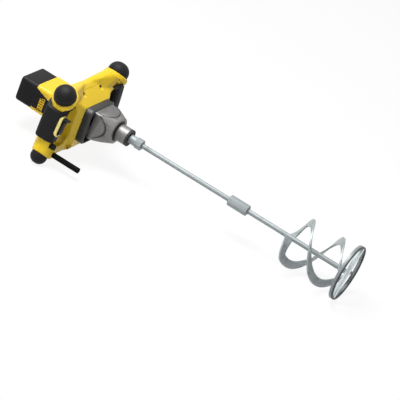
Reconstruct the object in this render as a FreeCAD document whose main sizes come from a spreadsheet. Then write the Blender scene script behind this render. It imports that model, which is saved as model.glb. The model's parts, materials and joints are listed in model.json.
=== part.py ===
import FreeCAD, Part
import math
import os

import Sketcher
from FreeCAD import Placement, Rotation, Vector

# Paddle mixer with a frame handle. X is the spindle axis with the paddle tip at +X, Y runs across the
# handles with the trigger handle at -Y, Z is up as the tool lies on its lower bumpers. The origin is on
# the spindle axis in the front face of the clamping neck. All lengths are millimetres, angles degrees.

SIZES = {
    # General fits and walls
    "run_fit": 0.05,
    "slide_gap": 0.3,
    "shell_wall": 3.5,
    "overrun": 20,
    # Gearbox case, plate and clamping neck
    "neck_length": 35,
    "neck_radius": 21.5,
    "neck_groove_depth": 1.2,
    "neck_groove_width": 3,
    "case_length": 55,
    "case_half_y": 41,
    "case_half_z": 37,
    "case_drop": 4,
    "case_corner": 5,
    "case_back_radius": 58,
    "case_front_radius": 34,
    "case_wall": 3.5,
    "case_cavity": 20,
    "spindle_tunnel": 13,
    "plate_thick": 20,
    "plate_half_y": 56,
    "plate_half_z": 47.5,
    "plate_corner": 17,
    "plate_drop": 11.5,
    "plate_wall": 5,
    "plate_floor": 7,
    "plate_chamfer": 4,
    # Gear train
    "motor_drop": 17,
    "first_module": 1,
    "second_module": 1.25,
    "tooth_backlash": 0.3,
    "first_face": 9,
    "second_face": 14,
    "pinion_overlap": 1,
    "pinion_clear": 0.7,
    "bulge_wall": 2.5,
    "gear_step": 5,
    "gear_end_gap": 1,
    # Spindle with its bearings
    "spindle_radius": 8.5,
    "nose_radius": 11.5,
    "nose_length": 18,
    "nose_gap": 0.5,
    "socket_depth": 20,
    "journal_radius": 5,
    "bush_wall": 2,
    "bush_boss_wall": 3,
    "spindle_bearing_radius": 17.5,
    "spindle_bearing_width": 10,
    "seal_width": 7,
    "seal_recess": 0.5,
    # Countershaft
    "counter_radius": 4,
    "counter_bearing_radius": 8,
    "counter_bearing_width": 6,
    # Motor
    "cover_length": 49,
    "body_length": 141,
    "cover_half_y": 48,
    "cover_half_z": 33.5,
    "cover_corner": 11,
    "cover_edge": 7,
    "cover_wall": 3,
    "cover_end_wall": 4,
    "rotor_radius": 20.5,
    "air_gap": 0.7,
    "stator_half_y": 43,
    "stator_half_z": 30,
    "stator_corner": 14,
    "stator_overhang": 3,
    "coil_half_y": 24,
    "coil_depth": 5.5,
    "coil_overhang": 9,
    "shaft_radius": 6,
    "pinion_seat_radius": 2.5,
    "front_seat_radius": 5,
    "rear_seat_radius": 4,
    "front_bearing_radius": 13,
    "front_bearing_width": 8,
    "rear_bearing_radius": 11,
    "rear_bearing_width": 7,
    "bearing_boss_wall": 4,
    "winding_length": 9,
    "winding_inset": 2,
    "commutator_radius": 13,
    "commutator_length": 20,
    "commutator_gap": 14,
    "commutator_clear": 12,
    "fan_radius": 34,
    "fan_hub_radius": 9,
    "fan_disc": 3,
    "fan_width": 14,
    "fan_blade": 2.5,
    "fan_gap": 7,
    "brush_side": 8,
    "brush_holder_side": 13,
    "brush_length": 14,
    "brush_grip": 9,
    "rib_thick": 4,
    # Shell with its arms and corner bosses
    "frame_back": 32,
    "ridge_back": 45,
    "chin_back": 5,
    "chin_rise": 9,
    "barrel_length": 43,
    "barrel_step": 1.5,
    "ridge_top": 73,
    "ridge_dip": 3,
    "ridge_bottom": 92,
    "waist_half_y": 72,
    "arm_half_x": 21,
    "arm_half_y": 150,
    "gap_top": 44,
    "gap_bottom": 62,
    "gap_corner": 14,
    "shell_fillet": 8,
    "upper_cap_y": 119,
    "upper_cap_z": 67.5,
    "upper_cap_radius": 27,
    "upper_cap_height": 31,
    "upper_boss_length": 12,
    "lower_cap_y": 141,
    "lower_cap_z": 84,
    "lower_cap_radius": 20.5,
    "lower_cap_height": 26,
    "lower_boss_length": 36,
    "boss_rim": 3.5,
    "cap_plug_depth": 4,
    "cap_splay": 33,
    # Grips, trigger, lock button and switch
    "bar_half_x": 16,
    "bar_half_y": 14,
    "bar_corner": 9.5,
    "grip_wall": 5,
    "grip_back_wall": 14,
    "grip_side_wall": 6,
    "grip_corner": 16,
    "grip_top": 60,
    "grip_bottom": 36,
    "trigger_length": 48,
    "trigger_width": 16,
    "trigger_reach": 9,
    "trigger_depth": 9,
    "trigger_corner": 5,
    "trigger_travel": 6,
    "trigger_up": 10,
    "trigger_out": 5,
    "bezel_rim": 3.5,
    "bezel_reach": 2.5,
    "switch_depth": 12.5,
    "switch_length": 44,
    "switch_width": 18,
    "lock_radius": 7,
    "lock_reach": 14,
    "lock_depth": 10,
    "lock_travel": 3,
    "lock_down": 46,
    # Cord guard
    "guard_radius": 6.8,
    "guard_bore": 4.3,
    "guard_length": 77,
    "guard_flange": 1.5,
    "guard_flange_length": 4,
    "guard_y": 128,
    "guard_z": 77,
    "guard_socket_wall": 3,
    "guard_socket_reach": 9,
    "guard_seat_depth": 14,
    # Paddle
    "hex_flats": 24,
    "hex_length": 17,
    "rod_radius": 6,
    "coupling_start": 288,
    "coupling_length": 52,
    "ribbon_start": 459,
    "ring_centre": 617,
    "ring_radius": 70,
    "ring_wall": 4.5,
    "ring_width": 10,
    "bar_width": 10,
    "ribbon_radius": 64.5,
    "ribbon_width": 20,
    "ribbon_thick": 4,
    # Screws
    "screw_head_radius": 4,
    "screw_head_length": 3,
    "screw_radius": 2.2,
    "screw_length": 24,
    "screw_well": 3.5,
    "screw_column": 6,
    "plate_screw_length": 8,
    "plate_screw_inset": 13,
}

FIRST_PINION_TEETH = 9
FIRST_GEAR_TEETH = 39
SECOND_PINION_TEETH = 11
SECOND_GEAR_TEETH = 39
PROFILE_SHIFT_SHARE = 0.4
PRESSURE_ANGLE = 20
FLANK_STEPS = 5
FAN_BLADES = 12
RIBBON_TURNS = 0.932
RIBBON_END_ANGLE = 158.8
RIBBON_LEAD_SHARE = 0.1
RIBBON_TAIL_SHARE = 0.15
RIBBON_STEPS = 40
CROSS_BAR_ANGLE = 61.5
FLAT = 1e-4

doc = FreeCAD.newDocument("mixing_drill")
pieces = []


class Size:
    """A length of the sheet, or a sum of them, with the expression text that binds it."""

    def __init__(self, value, text):
        self.value = value
        self.text = text

    def __add__(self, other):
        return Size(self.value + other.value, f"({self.text} + {other.text})")

    def __sub__(self, other):
        return Size(self.value - other.value, f"({self.text} - {other.text})")

    def __mul__(self, share):
        return Size(self.value * share, f"({self.text} * {share})")

    def __neg__(self):
        return Size(-self.value, f"(-{self.text})")


class Sheet:
    """The driving dimensions, as cells of a spreadsheet with aliases."""

    def __init__(self, sizes):
        self.cells = doc.addObject("Spreadsheet::Sheet", "dims")
        for row, (name, value) in enumerate(sizes.items(), start=1):
            self.cells.set(f"A{row}", name)
            self.cells.set(f"B{row}", str(value))
            self.cells.setAlias(f"B{row}", name)
        doc.recompute()

    def __getattr__(self, name):
        return Size(float(self.cells.get(name)), f"dims.{name}")


d = Sheet(SIZES)
ZERO = Size(0.0, "0")

# Stations along the spindle axis, from the neck's face backwards
case_front = -d.neck_length
case_back = case_front - d.case_length
plate_back = case_back - d.plate_thick
frame_x = plate_back - d.frame_back
ridge_x = plate_back - d.ridge_back
cover_front = plate_back - d.body_length
cover_back = cover_front - d.cover_length
flare_x = cover_front + d.barrel_length
barrel_half_y = d.cover_half_y + d.barrel_step
barrel_half_z = d.cover_half_z + d.barrel_step
cavity_front = case_back + d.case_cavity
plate_face = plate_back + d.plate_floor
first_back = plate_face + d.gear_end_gap
first_front = first_back + d.first_face
second_back = first_front + d.gear_step
second_front = second_back + d.second_face
bearing_back = -(d.seal_recess + d.seal_width + d.seal_recess + d.spindle_bearing_width)
bearing_front = bearing_back + d.spindle_bearing_width
motor_z = -d.motor_drop
plate_z = -d.plate_drop
hex_front = d.nose_length + d.hex_length
coupling_end = d.coupling_start + d.coupling_length
ring_back = d.ring_centre - d.ring_width * 0.5


def bind(target, path, size):
    """Binds one property of an object to an expression of the sheet."""
    target.setExpression(path, size.text)


def keep(piece, label):
    """Names a sub-part and adds it to those that are written."""
    piece.Label = label
    pieces.append(piece)
    return piece


def place(piece, x=ZERO, y=ZERO, z=ZERO):
    """Binds the place of an object to sizes of the sheet."""
    bind(piece, ".Placement.Base.x", x)
    bind(piece, ".Placement.Base.y", y)
    bind(piece, ".Placement.Base.z", z)


def plane_of(body, role):
    """The origin plane of a body with the given role."""
    return next(feature for feature in body.Origin.OriginFeatures if feature.Role == role)


def pin_point(sketch, line, x, y):
    """Fixes the start of a line at a place given by two sizes."""
    for kind, size, axis in (("DistanceX", x, -2), ("DistanceY", y, -1)):
        if size is ZERO:
            sketch.addConstraint(Sketcher.Constraint("PointOnObject", line, 1, axis))
            continue
        index = sketch.addConstraint(Sketcher.Constraint(kind, -1, 1, line, 1, size.value))
        sketch.setExpression(f"Constraints[{index}]", size.text)


def outline_sketch(body, role, points):
    """A closed outline of straight lines, each corner bound to two sizes."""
    sketch = body.newObject("Sketcher::SketchObject", "outline")
    sketch.AttachmentSupport = (plane_of(body, role), [""])
    sketch.MapMode = "FlatFace"
    corners = [Vector(x.value, y.value, 0) for x, y in points]
    for start, end in zip(corners, corners[1:] + corners[:1]):
        sketch.addGeometry(Part.LineSegment(start, end))
    for line in range(len(points)):
        following = (line + 1) % len(points)
        sketch.addConstraint(Sketcher.Constraint("Coincident", line, 2, following, 1))
    for line, (x, y) in enumerate(points):
        pin_point(sketch, line, x, y)
    return sketch


def turned(label, profile, y=ZERO, z=ZERO):
    """A piece turned about an axis along X, from stations and radii."""
    body = doc.addObject("PartDesign::Body", label)
    sketch = outline_sketch(body, "XZ_Plane", profile)
    turn = body.newObject("PartDesign::Revolution", "turn")
    turn.Profile = sketch
    turn.ReferenceAxis = (sketch, ["H_Axis"])
    turn.Angle = 360
    place(body, ZERO, y, z)
    return keep(body, label)


def turned_ring(label, start, end, inner, outer, y=ZERO, z=ZERO):
    """A turned ring of rectangular section."""
    return turned(label, [(start, inner), (end, inner), (end, outer), (start, outer)], y, z)


def turned_shaft(label, steps, y=ZERO, z=ZERO):
    """A solid stepped shaft: each step has its start, its end and its radius."""
    profile = [(steps[0][0], ZERO)]
    for start, end, radius in steps:
        profile += [(start, radius), (end, radius)]
    profile.append((steps[-1][1], ZERO))
    return turned(label, profile, y, z)


def rounded_block(name, start, end, half_y, half_z, corner, y=ZERO, z=ZERO):
    """A block along X with a rounded rectangle as its section."""
    body = doc.addObject("PartDesign::Body", name)
    sketch = outline_sketch(body, "YZ_Plane", [
        (-half_y, -half_z), (half_y, -half_z), (half_y, half_z), (-half_y, half_z)])
    pad = body.newObject("PartDesign::Pad", "pad")
    pad.Profile = sketch
    bind(pad, "Length", end - start)
    doc.recompute()
    fillet = body.newObject("PartDesign::Fillet", "corners")
    fillet.Base = (pad, edges_along(pad.Shape, Vector(1, 0, 0)))
    bind(fillet, "Radius", corner)
    place(body, start, y, z)
    return body


def edges_along(shape, axis):
    """The names of the straight edges of a shape that run along an axis."""
    names = []
    for index, edge in enumerate(shape.Edges, start=1):
        run = edge.Vertexes[-1].Point - edge.Vertexes[0].Point
        if run.Length and abs(run.normalize().dot(axis)) > 0.999:
            names.append(f"Edge{index}")
    return names


def block(start, end, y_low, y_high, z_low, z_high):
    """A box between stations of the sheet."""
    box = doc.addObject("Part::Box", "block")
    bind(box, "Length", end - start)
    bind(box, "Width", y_high - y_low)
    bind(box, "Height", z_high - z_low)
    place(box, start, y_low, z_low)
    return box


def rod(start, end, radius, y=ZERO, z=ZERO):
    """A cylinder along X between two stations."""
    cylinder = doc.addObject("Part::Cylinder", "rod")
    bind(cylinder, "Radius", radius)
    bind(cylinder, "Height", end - start)
    cylinder.Placement.Rotation = Rotation(Vector(0, 1, 0), 90)
    place(cylinder, start, y, z)
    return cylinder


def cone(start, end, start_radius, end_radius):
    """A cone along X between two stations."""
    taper = doc.addObject("Part::Cone", "taper")
    bind(taper, "Radius1", start_radius)
    bind(taper, "Radius2", end_radius)
    bind(taper, "Height", end - start)
    taper.Placement.Rotation = Rotation(Vector(0, 1, 0), 90)
    place(taper, start)
    return taper


def joined(kind, *operands):
    """A boolean of two or more objects: Part::MultiFuse or Part::MultiCommon."""
    result = doc.addObject(kind, "joined")
    result.Shapes = list(operands)
    return result


def cut(base, *tools):
    """One object with others taken away."""
    result = doc.addObject("Part::Cut", "cut")
    result.Base = base
    result.Tool = tools[0] if len(tools) == 1 else joined("Part::MultiFuse", *tools)
    return result


def solid_feature(label, shape, placement=None):
    """A sub-part whose shape is set directly."""
    feature = doc.addObject("Part::Feature", label)
    feature.Shape = shape
    if placement:
        feature.Placement = placement
    return keep(feature, label)


# Gear geometry: teeth are involutes with a profile shift, thinned for backlash


def involute(angle):
    """The involute function of a pressure angle in radians."""
    return math.tan(angle) - angle


def tooth_half_angle(teeth, module, shift_share, radius, backlash):
    """Half the angle that one tooth fills at a radius."""
    pressure = math.radians(PRESSURE_ANGLE)
    pitch = module * teeth / 2
    base = pitch * math.cos(pressure)
    thickness = module * (math.pi / 2 + 2 * shift_share * math.tan(pressure)) - backlash
    at_radius = math.acos(min(1.0, base / radius))
    return thickness / (2 * pitch) + involute(pressure) - involute(at_radius)


def gear_points(teeth, module, shift_share, backlash):
    """The outline of a spur gear with a tooth centred on the first axis of its plane."""
    pitch = module * teeth / 2
    base = pitch * math.cos(math.radians(PRESSURE_ANGLE))
    tip = pitch + module * (1 + shift_share) - backlash / 2
    root = pitch + module * (shift_share - 1) - backlash
    low = max(base, root)
    radii = [low + (tip - low) * step / FLANK_STEPS for step in range(FLANK_STEPS + 1)]
    half = [tooth_half_angle(teeth, module, shift_share, radius, backlash) for radius in radii]
    side = [(root, half[0])] + list(zip(radii, half))
    points = []
    for tooth in range(teeth):
        centre = 2 * math.pi * tooth / teeth
        points += [(radius, centre - angle) for radius, angle in side]
        points += [(radius, centre + angle) for radius, angle in reversed(side)]
    return [Vector(0, radius * math.cos(angle), radius * math.sin(angle)) for radius, angle in points]


def gear(label, teeth, module, shift_share, bore, start, end, y, z, turn):
    """A spur gear on an axis along X, turned by an angle in degrees."""
    outline = gear_points(teeth, module.value, shift_share, d.tooth_backlash.value)
    face = Part.Face(Part.makePolygon(outline + outline[:1]))
    width = (end - start).value
    blank = face.extrude(Vector(width, 0, 0))
    hole = Part.makeCylinder(bore.value, width, Vector(), Vector(1, 0, 0))
    at = Placement(Vector(start.value, y.value, z.value), Rotation(Vector(1, 0, 0), turn))
    return solid_feature(label, blank.cut(hole), at)


def counter_place():
    """The countershaft's place beside the spindle, from the two centre distances."""
    to_motor = d.first_module.value * (FIRST_PINION_TEETH + FIRST_GEAR_TEETH) / 2
    to_spindle = d.second_module.value * (SECOND_PINION_TEETH + SECOND_GEAR_TEETH) / 2
    drop = d.motor_drop.value
    down = (to_spindle**2 - to_motor**2 + drop**2) / (2 * drop)
    return math.sqrt(to_spindle**2 - down**2), -down


COUNTER_Y, COUNTER_Z = counter_place()
counter_y = Size(COUNTER_Y, f"{COUNTER_Y}")
counter_z = Size(COUNTER_Z, f"({COUNTER_Z})")
pinion_tip = d.second_module * (SECOND_PINION_TEETH / 2 + 1 + PROFILE_SHIFT_SHARE)


def mesh_turns():
    """The turn of each gear at rest, so that every tooth faces a space."""
    to_counter = math.degrees(math.atan2(COUNTER_Z - motor_z.value, COUNTER_Y))
    to_spindle = math.degrees(math.atan2(-COUNTER_Z, -COUNTER_Y))
    return {
        "motor_pinion": to_counter,
        "countershaft_gear": to_counter + 180 - 180 / FIRST_GEAR_TEETH,
        "countershaft_pinion": to_spindle,
        "spindle_gear": to_spindle + 180 - 180 / SECOND_GEAR_TEETH,
    }


def make_gears():
    """Two stages: motor to countershaft, countershaft to spindle."""
    turns = mesh_turns()
    gear("motor_pinion", FIRST_PINION_TEETH, d.first_module, PROFILE_SHIFT_SHARE, d.pinion_seat_radius,
         first_back, first_front + d.pinion_overlap, ZERO, motor_z, turns["motor_pinion"])
    gear("countershaft_gear", FIRST_GEAR_TEETH, d.first_module, -PROFILE_SHIFT_SHARE, d.counter_radius,
         first_back, first_front, counter_y, counter_z, turns["countershaft_gear"])
    gear("countershaft_pinion", SECOND_PINION_TEETH, d.second_module, PROFILE_SHIFT_SHARE,
         d.counter_radius, second_back - d.pinion_overlap, second_front + d.pinion_overlap,
         counter_y, counter_z, turns["countershaft_pinion"])
    gear("spindle_gear", SECOND_GEAR_TEETH, d.second_module, -PROFILE_SHIFT_SHARE, d.spindle_radius,
         second_back, second_front, ZERO, ZERO, turns["spindle_gear"])


# Gearbox


def make_case():
    """A taper cut square by four flats, with the clamping neck and the gear cavity."""
    outer = joined("Part::MultiCommon",
                   cone(case_back, case_front, d.case_back_radius, d.case_front_radius),
                   rounded_block("flats", case_back, case_front, d.case_half_y, d.case_half_z,
                                 d.case_corner, ZERO, -d.case_drop))
    neck = rod(case_front, ZERO, d.neck_radius)
    wall = d.case_wall
    cavity = joined("Part::MultiCommon",
                    cone(case_back, case_front, d.case_back_radius - wall, d.case_front_radius - wall),
                    rounded_block("inside", case_back, cavity_front, d.case_half_y - wall,
                                  d.case_half_z - wall, d.case_corner, ZERO, -d.case_drop))
    room = pinion_tip + d.pinion_clear
    bulge = rod(case_back, cavity_front + d.counter_bearing_width, room + d.bulge_wall, counter_y, counter_z)
    relief = rod(case_back, cavity_front, room, counter_y, counter_z)
    tunnel = rod(cavity_front, bearing_back, d.spindle_tunnel)
    seat = rod(bearing_back, d.overrun, d.spindle_bearing_radius)
    pocket = rod(cavity_front, cavity_front + d.counter_bearing_width, d.counter_bearing_radius,
                 counter_y, counter_z)
    groove = cut(rod(case_front, case_front + d.neck_groove_width, d.neck_radius + d.overrun),
                 rod(case_front, case_front + d.neck_groove_width, d.neck_radius - d.neck_groove_depth))
    keep(cut(joined("Part::MultiFuse", outer, neck, bulge), cavity, relief, tunnel, seat, pocket, groove),
         "gearbox_case")


def make_plate():
    """The dark plate between shell and case, with the bosses of three bearings."""
    outer = rounded_block("plate", plate_back, case_back, d.plate_half_y, d.plate_half_z,
                          d.plate_corner, ZERO, plate_z)
    doc.recompute()
    base = outer.Tip
    chamfer = outer.newObject("PartDesign::Chamfer", "rim")
    chamfer.Base = (base, edges_at(base.Shape, d.plate_thick.value))
    bind(chamfer, "Size", d.plate_chamfer)
    wall = d.plate_wall + d.plate_chamfer
    cavity = rounded_block("hollow", plate_face, case_back, d.plate_half_y - wall + d.plate_wall * 0.5,
                           d.plate_half_z - wall + d.plate_wall * 0.5,
                           d.plate_corner - d.plate_wall, ZERO, plate_z)
    bush_radius = d.journal_radius + d.bush_wall
    spindle_boss = rod(plate_back, case_back, bush_radius + d.bush_boss_wall)
    motor_boss = rod(motor_boss_back, plate_back, d.front_bearing_radius + d.bearing_boss_wall,
                     ZERO, motor_z)
    body = joined("Part::MultiFuse", cut(outer, cavity), spindle_boss, motor_boss)
    holes = [rod(plate_back, plate_face, d.screw_radius + d.run_fit, y, z)
             for y, z in plate_screw_places()]
    keep(cut(body, *holes,
             rod(plate_face, case_back, bush_radius),
             rod(motor_boss_back, motor_boss_back + d.front_bearing_width, d.front_bearing_radius,
                 ZERO, motor_z),
             rod(motor_boss_back, case_back, d.shaft_radius, ZERO, motor_z),
             rod(plate_face - d.counter_bearing_width, plate_face, d.counter_bearing_radius,
                 counter_y, counter_z)),
         "gearbox_plate")


def edges_at(shape, x):
    """The names of the edges of a shape that lie in one plane across X."""
    return [f"Edge{index}" for index, edge in enumerate(shape.Edges, start=1)
            if abs(edge.BoundBox.XMin - x) + abs(edge.BoundBox.XMax - x) < FLAT]


def make_bearings():
    """Rings that carry the three shafts, each with a running fit on its shaft."""
    fit = d.run_fit
    turned_ring("spindle_bearing", bearing_back, bearing_front, d.spindle_radius + fit,
                d.spindle_bearing_radius)
    turned_ring("shaft_seal", bearing_front + d.seal_recess, -d.seal_recess,
                d.spindle_radius + d.slide_gap, d.spindle_bearing_radius)
    turned_ring("spindle_bush", plate_face, case_back, d.journal_radius + fit,
                d.journal_radius + d.bush_wall)
    turned_ring("countershaft_rear_bearing", plate_face - d.counter_bearing_width, plate_face,
                d.counter_radius + fit, d.counter_bearing_radius, counter_y, counter_z)
    turned_ring("countershaft_front_bearing", cavity_front, cavity_front + d.counter_bearing_width,
                d.counter_radius + fit, d.counter_bearing_radius, counter_y, counter_z)
    turned_ring("armature_front_bearing", motor_boss_back, motor_boss_back + d.front_bearing_width,
                d.front_seat_radius + fit, d.front_bearing_radius, ZERO, motor_z)
    turned_ring("armature_rear_bearing", rear_bearing_back, rear_bearing_back + d.rear_bearing_width,
                d.rear_seat_radius + fit, d.rear_bearing_radius, ZERO, motor_z)


def make_spindle():
    """The output spindle with its threaded socket, and the countershaft beside it."""
    end = d.nose_length
    socket = d.rod_radius + d.run_fit
    turned("spindle", [
        (plate_face + d.gear_end_gap, ZERO), (plate_face + d.gear_end_gap, d.journal_radius),
        (case_back + d.gear_end_gap, d.journal_radius), (case_back + d.gear_end_gap, d.spindle_radius),
        (d.nose_gap, d.spindle_radius), (d.nose_gap, d.nose_radius), (end, d.nose_radius),
        (end, socket), (end - d.socket_depth, socket), (end - d.socket_depth, ZERO)])
    turned_shaft("countershaft", [
        (plate_face - d.counter_bearing_width, cavity_front + d.counter_bearing_width,
         d.counter_radius)], counter_y, counter_z)


# Motor stations, from the plate backwards and from the cover forwards
motor_boss_back = plate_back - d.front_bearing_width - d.bearing_boss_wall
fan_front = motor_boss_back - d.fan_gap
fan_back = fan_front - d.fan_width
coil_front = fan_back - d.fan_gap
stator_front = coil_front - d.coil_overhang
rotor_front = stator_front - d.stator_overhang
rear_bearing_back = cover_back + d.cover_end_wall + d.bearing_boss_wall
commutator_back = rear_bearing_back + d.rear_bearing_width + d.commutator_clear
commutator_front = commutator_back + d.commutator_length
rotor_back = commutator_front + d.commutator_gap + d.winding_length
stator_back = rotor_back - d.stator_overhang
stator_length = stator_front - stator_back
coil_back = stator_back - d.coil_overhang


def make_armature():
    """The shaft with core, end windings and commutator, seated on one another."""
    turned_shaft("armature_shaft", [
        (rear_bearing_back, rear_bearing_back + d.rear_bearing_width, d.rear_seat_radius),
        (rear_bearing_back + d.rear_bearing_width + d.slide_gap, motor_boss_back - d.slide_gap,
         d.shaft_radius),
        (motor_boss_back - d.slide_gap, plate_face + d.slide_gap, d.front_seat_radius),
        (plate_face + d.slide_gap, first_front + d.pinion_overlap, d.pinion_seat_radius)],
        ZERO, motor_z)
    turned_ring("armature_core", rotor_back, rotor_front, d.shaft_radius, d.rotor_radius, ZERO, motor_z)
    winding = d.rotor_radius - d.winding_inset
    turned_ring("armature_front_winding", rotor_front, rotor_front + d.winding_length, d.shaft_radius,
                winding, ZERO, motor_z)
    turned_ring("armature_rear_winding", rotor_back - d.winding_length, rotor_back, d.shaft_radius,
                winding, ZERO, motor_z)
    turned_ring("commutator", commutator_back, commutator_front, d.shaft_radius, d.commutator_radius,
                ZERO, motor_z)


def make_fan():
    """A disc with a hub and straight blades on its rear side."""
    body = turned("cooling_fan", [
        (fan_back, d.shaft_radius), (fan_front, d.shaft_radius), (fan_front, d.fan_radius),
        (fan_front - d.fan_disc, d.fan_radius), (fan_front - d.fan_disc, d.fan_hub_radius),
        (fan_back, d.fan_hub_radius)], ZERO, motor_z)
    low = d.fan_hub_radius - d.fan_blade
    sketch = outline_sketch(body, "XZ_Plane", [
        (fan_back, low), (fan_front, low), (fan_front, d.fan_radius), (fan_back, d.fan_radius)])
    blade = body.newObject("PartDesign::Pad", "blade")
    blade.Profile = sketch
    blade.Midplane = True
    bind(blade, "Length", d.fan_blade)
    ring = body.newObject("PartDesign::PolarPattern", "blades")
    ring.Originals = [blade]
    ring.Axis = (sketch, ["H_Axis"])
    ring.Angle = 360
    ring.Occurrences = FAN_BLADES
    body.Tip = ring


def make_stator():
    """Laminated stator with a round bore, and two field coils in its slots."""
    slot = d.rotor_radius + d.air_gap * 2
    deep = slot + d.coil_depth
    core = rounded_block("laminations", stator_back, stator_front, d.stator_half_y, d.stator_half_z,
                         d.stator_corner, ZERO, motor_z)
    bore = rod(stator_back, stator_front, d.rotor_radius + d.air_gap, ZERO, motor_z)
    half = d.coil_half_y
    upper = (-half, half, motor_z + slot, motor_z + deep)
    lower = (-half, half, motor_z - deep, motor_z - slot)
    keep(cut(core, bore, block(stator_back, stator_front, *upper),
             block(stator_back, stator_front, *lower)), "stator_core")
    keep(block(coil_back, coil_front, *upper), "upper_field_coil")
    keep(block(coil_back, coil_front, *lower), "lower_field_coil")


def make_brushes():
    """A square tube with a carbon brush on each side of the commutator."""
    centre = (commutator_back + commutator_front) * 0.5
    wide = d.brush_holder_side * 0.5
    narrow = d.brush_side * 0.5
    near = d.commutator_radius + d.slide_gap
    open_end = near + d.brush_length - d.brush_grip
    wall_y = d.cover_half_y - d.cover_wall
    for side, flip in (("left", -1), ("right", 1)):
        tube_y = sorted((open_end * flip, wall_y * flip), key=lambda size: size.value)
        brush_y = sorted((near * flip, (near + d.brush_length) * flip), key=lambda size: size.value)
        tube = block(centre - wide, centre + wide, *tube_y, motor_z - wide, motor_z + wide)
        hole = block(centre - narrow, centre + narrow, *tube_y, motor_z - narrow, motor_z + narrow)
        keep(cut(tube, hole), f"{side}_brush_holder")
        keep(block(centre - narrow, centre + narrow, *brush_y, motor_z - narrow, motor_z + narrow),
             f"{side}_carbon_brush")


def make_cover():
    """The motor cover: a rounded box with a domed end and a bearing boss inside."""
    outer = rounded_block("cover", cover_back, cover_front, d.cover_half_y, d.cover_half_z,
                          d.cover_corner, ZERO, motor_z)
    doc.recompute()
    base = outer.Tip
    dome = outer.newObject("PartDesign::Fillet", "dome")
    dome.Base = (base, edges_at(base.Shape, 0))
    bind(dome, "Radius", d.cover_edge)
    wall = d.cover_wall
    hollow = rounded_block("cover_inside", cover_back + d.cover_end_wall, cover_front,
                           d.cover_half_y - wall, d.cover_half_z - wall, d.cover_corner - wall,
                           ZERO, motor_z)
    boss_radius = d.rear_bearing_radius + d.bearing_boss_wall
    boss = rod(cover_back + d.cover_end_wall, rear_bearing_back + d.rear_bearing_width, boss_radius,
               ZERO, motor_z)
    seat = rod(rear_bearing_back, rear_bearing_back + d.rear_bearing_width, d.rear_bearing_radius,
               ZERO, motor_z)
    keep(cut(joined("Part::MultiFuse", cut(outer, hollow), boss), seat), "motor_cover")


# Shell: a body with four arms is what three outlines, seen along the three axes, have in common


def mirrored(points):
    """A list of places on the +Y side, closed by their mirror images."""
    return points + [(-y, other) for y, other in reversed(points)]


def arm_step():
    """The height of the short face at the end of an arm."""
    step_share = 0.15
    return (d.ridge_top - d.gap_top) * step_share


def front_outline():
    """The body and arms seen along X, as places across and up."""
    waist = d.waist_half_y
    corner = d.gap_corner
    upper = d.upper_cap_y
    lower = d.lower_cap_y
    upper_shares = (0.82, 0.97, 0.9)
    lower_shares = (0.93, 1.04, 0.88)
    dip_share = 0.45
    step = arm_step()
    return mirrored([
        (waist * dip_share, d.ridge_top - d.ridge_dip), (upper * upper_shares[0], d.ridge_top),
        (upper * upper_shares[1], d.gap_top + step),
        (upper * upper_shares[2], d.gap_top), (waist + corner, d.gap_top),
        (waist, d.gap_top - corner), (waist, corner - d.gap_bottom),
        (waist + corner, -d.gap_bottom), (lower * lower_shares[0], -d.gap_bottom),
        (lower * lower_shares[1], -(d.gap_bottom + step)), (lower * lower_shares[2], -d.ridge_bottom)])


def side_outline():
    """The body seen along Y: it swells from the plate to a ridge and narrows to a barrel for the motor."""
    return [
        (plate_back, plate_z + d.plate_half_z), (ridge_x, d.ridge_top),
        (flare_x, motor_z + barrel_half_z), (cover_front, motor_z + barrel_half_z),
        (cover_front, motor_z - barrel_half_z), (flare_x, motor_z - barrel_half_z),
        (ridge_x, -d.ridge_bottom), (plate_back - d.chin_back, d.chin_rise - d.ridge_bottom),
        (plate_back, plate_z - d.plate_half_z)]


def top_outline():
    """The body seen along Z: the arms run out from the plate and flare back to the motor's barrel."""
    return [(x, y) for y, x in mirrored([
        (d.plate_half_y, plate_back), (d.waist_half_y, frame_x + d.arm_half_x),
        (d.arm_half_y, frame_x + d.arm_half_x), (d.arm_half_y, frame_x - d.arm_half_x),
        (barrel_half_y, flare_x), (barrel_half_y, cover_front)])]


def soft_wire(corners):
    """A closed wire with its corners rounded by the shell's fillet, or by what their sides have room for."""
    arcs = []
    room_share = 0.45
    for index, corner in enumerate(corners):
        before = corners[index - 1] - corner
        after = corners[(index + 1) % len(corners)] - corner
        half_angle = before.getAngle(after) / 2
        room = min(before.Length, after.Length) * room_share
        reach = min(d.shell_fillet.value / math.tan(half_angle), room)
        radius = reach * math.tan(half_angle)
        before.normalize()
        after.normalize()
        inward = Vector(before + after).normalize()
        middle = corner + inward * (radius / math.sin(half_angle) - radius)
        arcs.append(Part.Arc(corner + before * reach, middle, corner + after * reach).toShape())
    edges = []
    for arc, following in zip(arcs, arcs[1:] + arcs[:1]):
        edges.append(arc)
        edges.append(Part.makeLine(arc.Vertexes[-1].Point, following.Vertexes[0].Point))
    return Part.Wire(edges)


def prism(points, along, inset):
    """A prism of an outline, drawn in by an inset, that reaches past the body at both ends."""
    reach = (d.arm_half_y + d.body_length + d.overrun).value * 2
    places = {
        "X": lambda a, b: Vector(-reach, a, b),
        "Y": lambda a, b: Vector(a, -reach, b),
        "Z": lambda a, b: Vector(a, b, -reach),
    }[along]
    corners = [places(a.value, b.value) for a, b in points]
    if inset:
        wire = Part.makePolygon(corners + corners[:1]).makeOffset2D(-inset, 2)
    else:
        wire = soft_wire(corners)
    way = {"X": Vector(1, 0, 0), "Y": Vector(0, 1, 0), "Z": Vector(0, 0, 1)}[along]
    return Part.Face(wire).extrude(way * (2 * reach))


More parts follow.
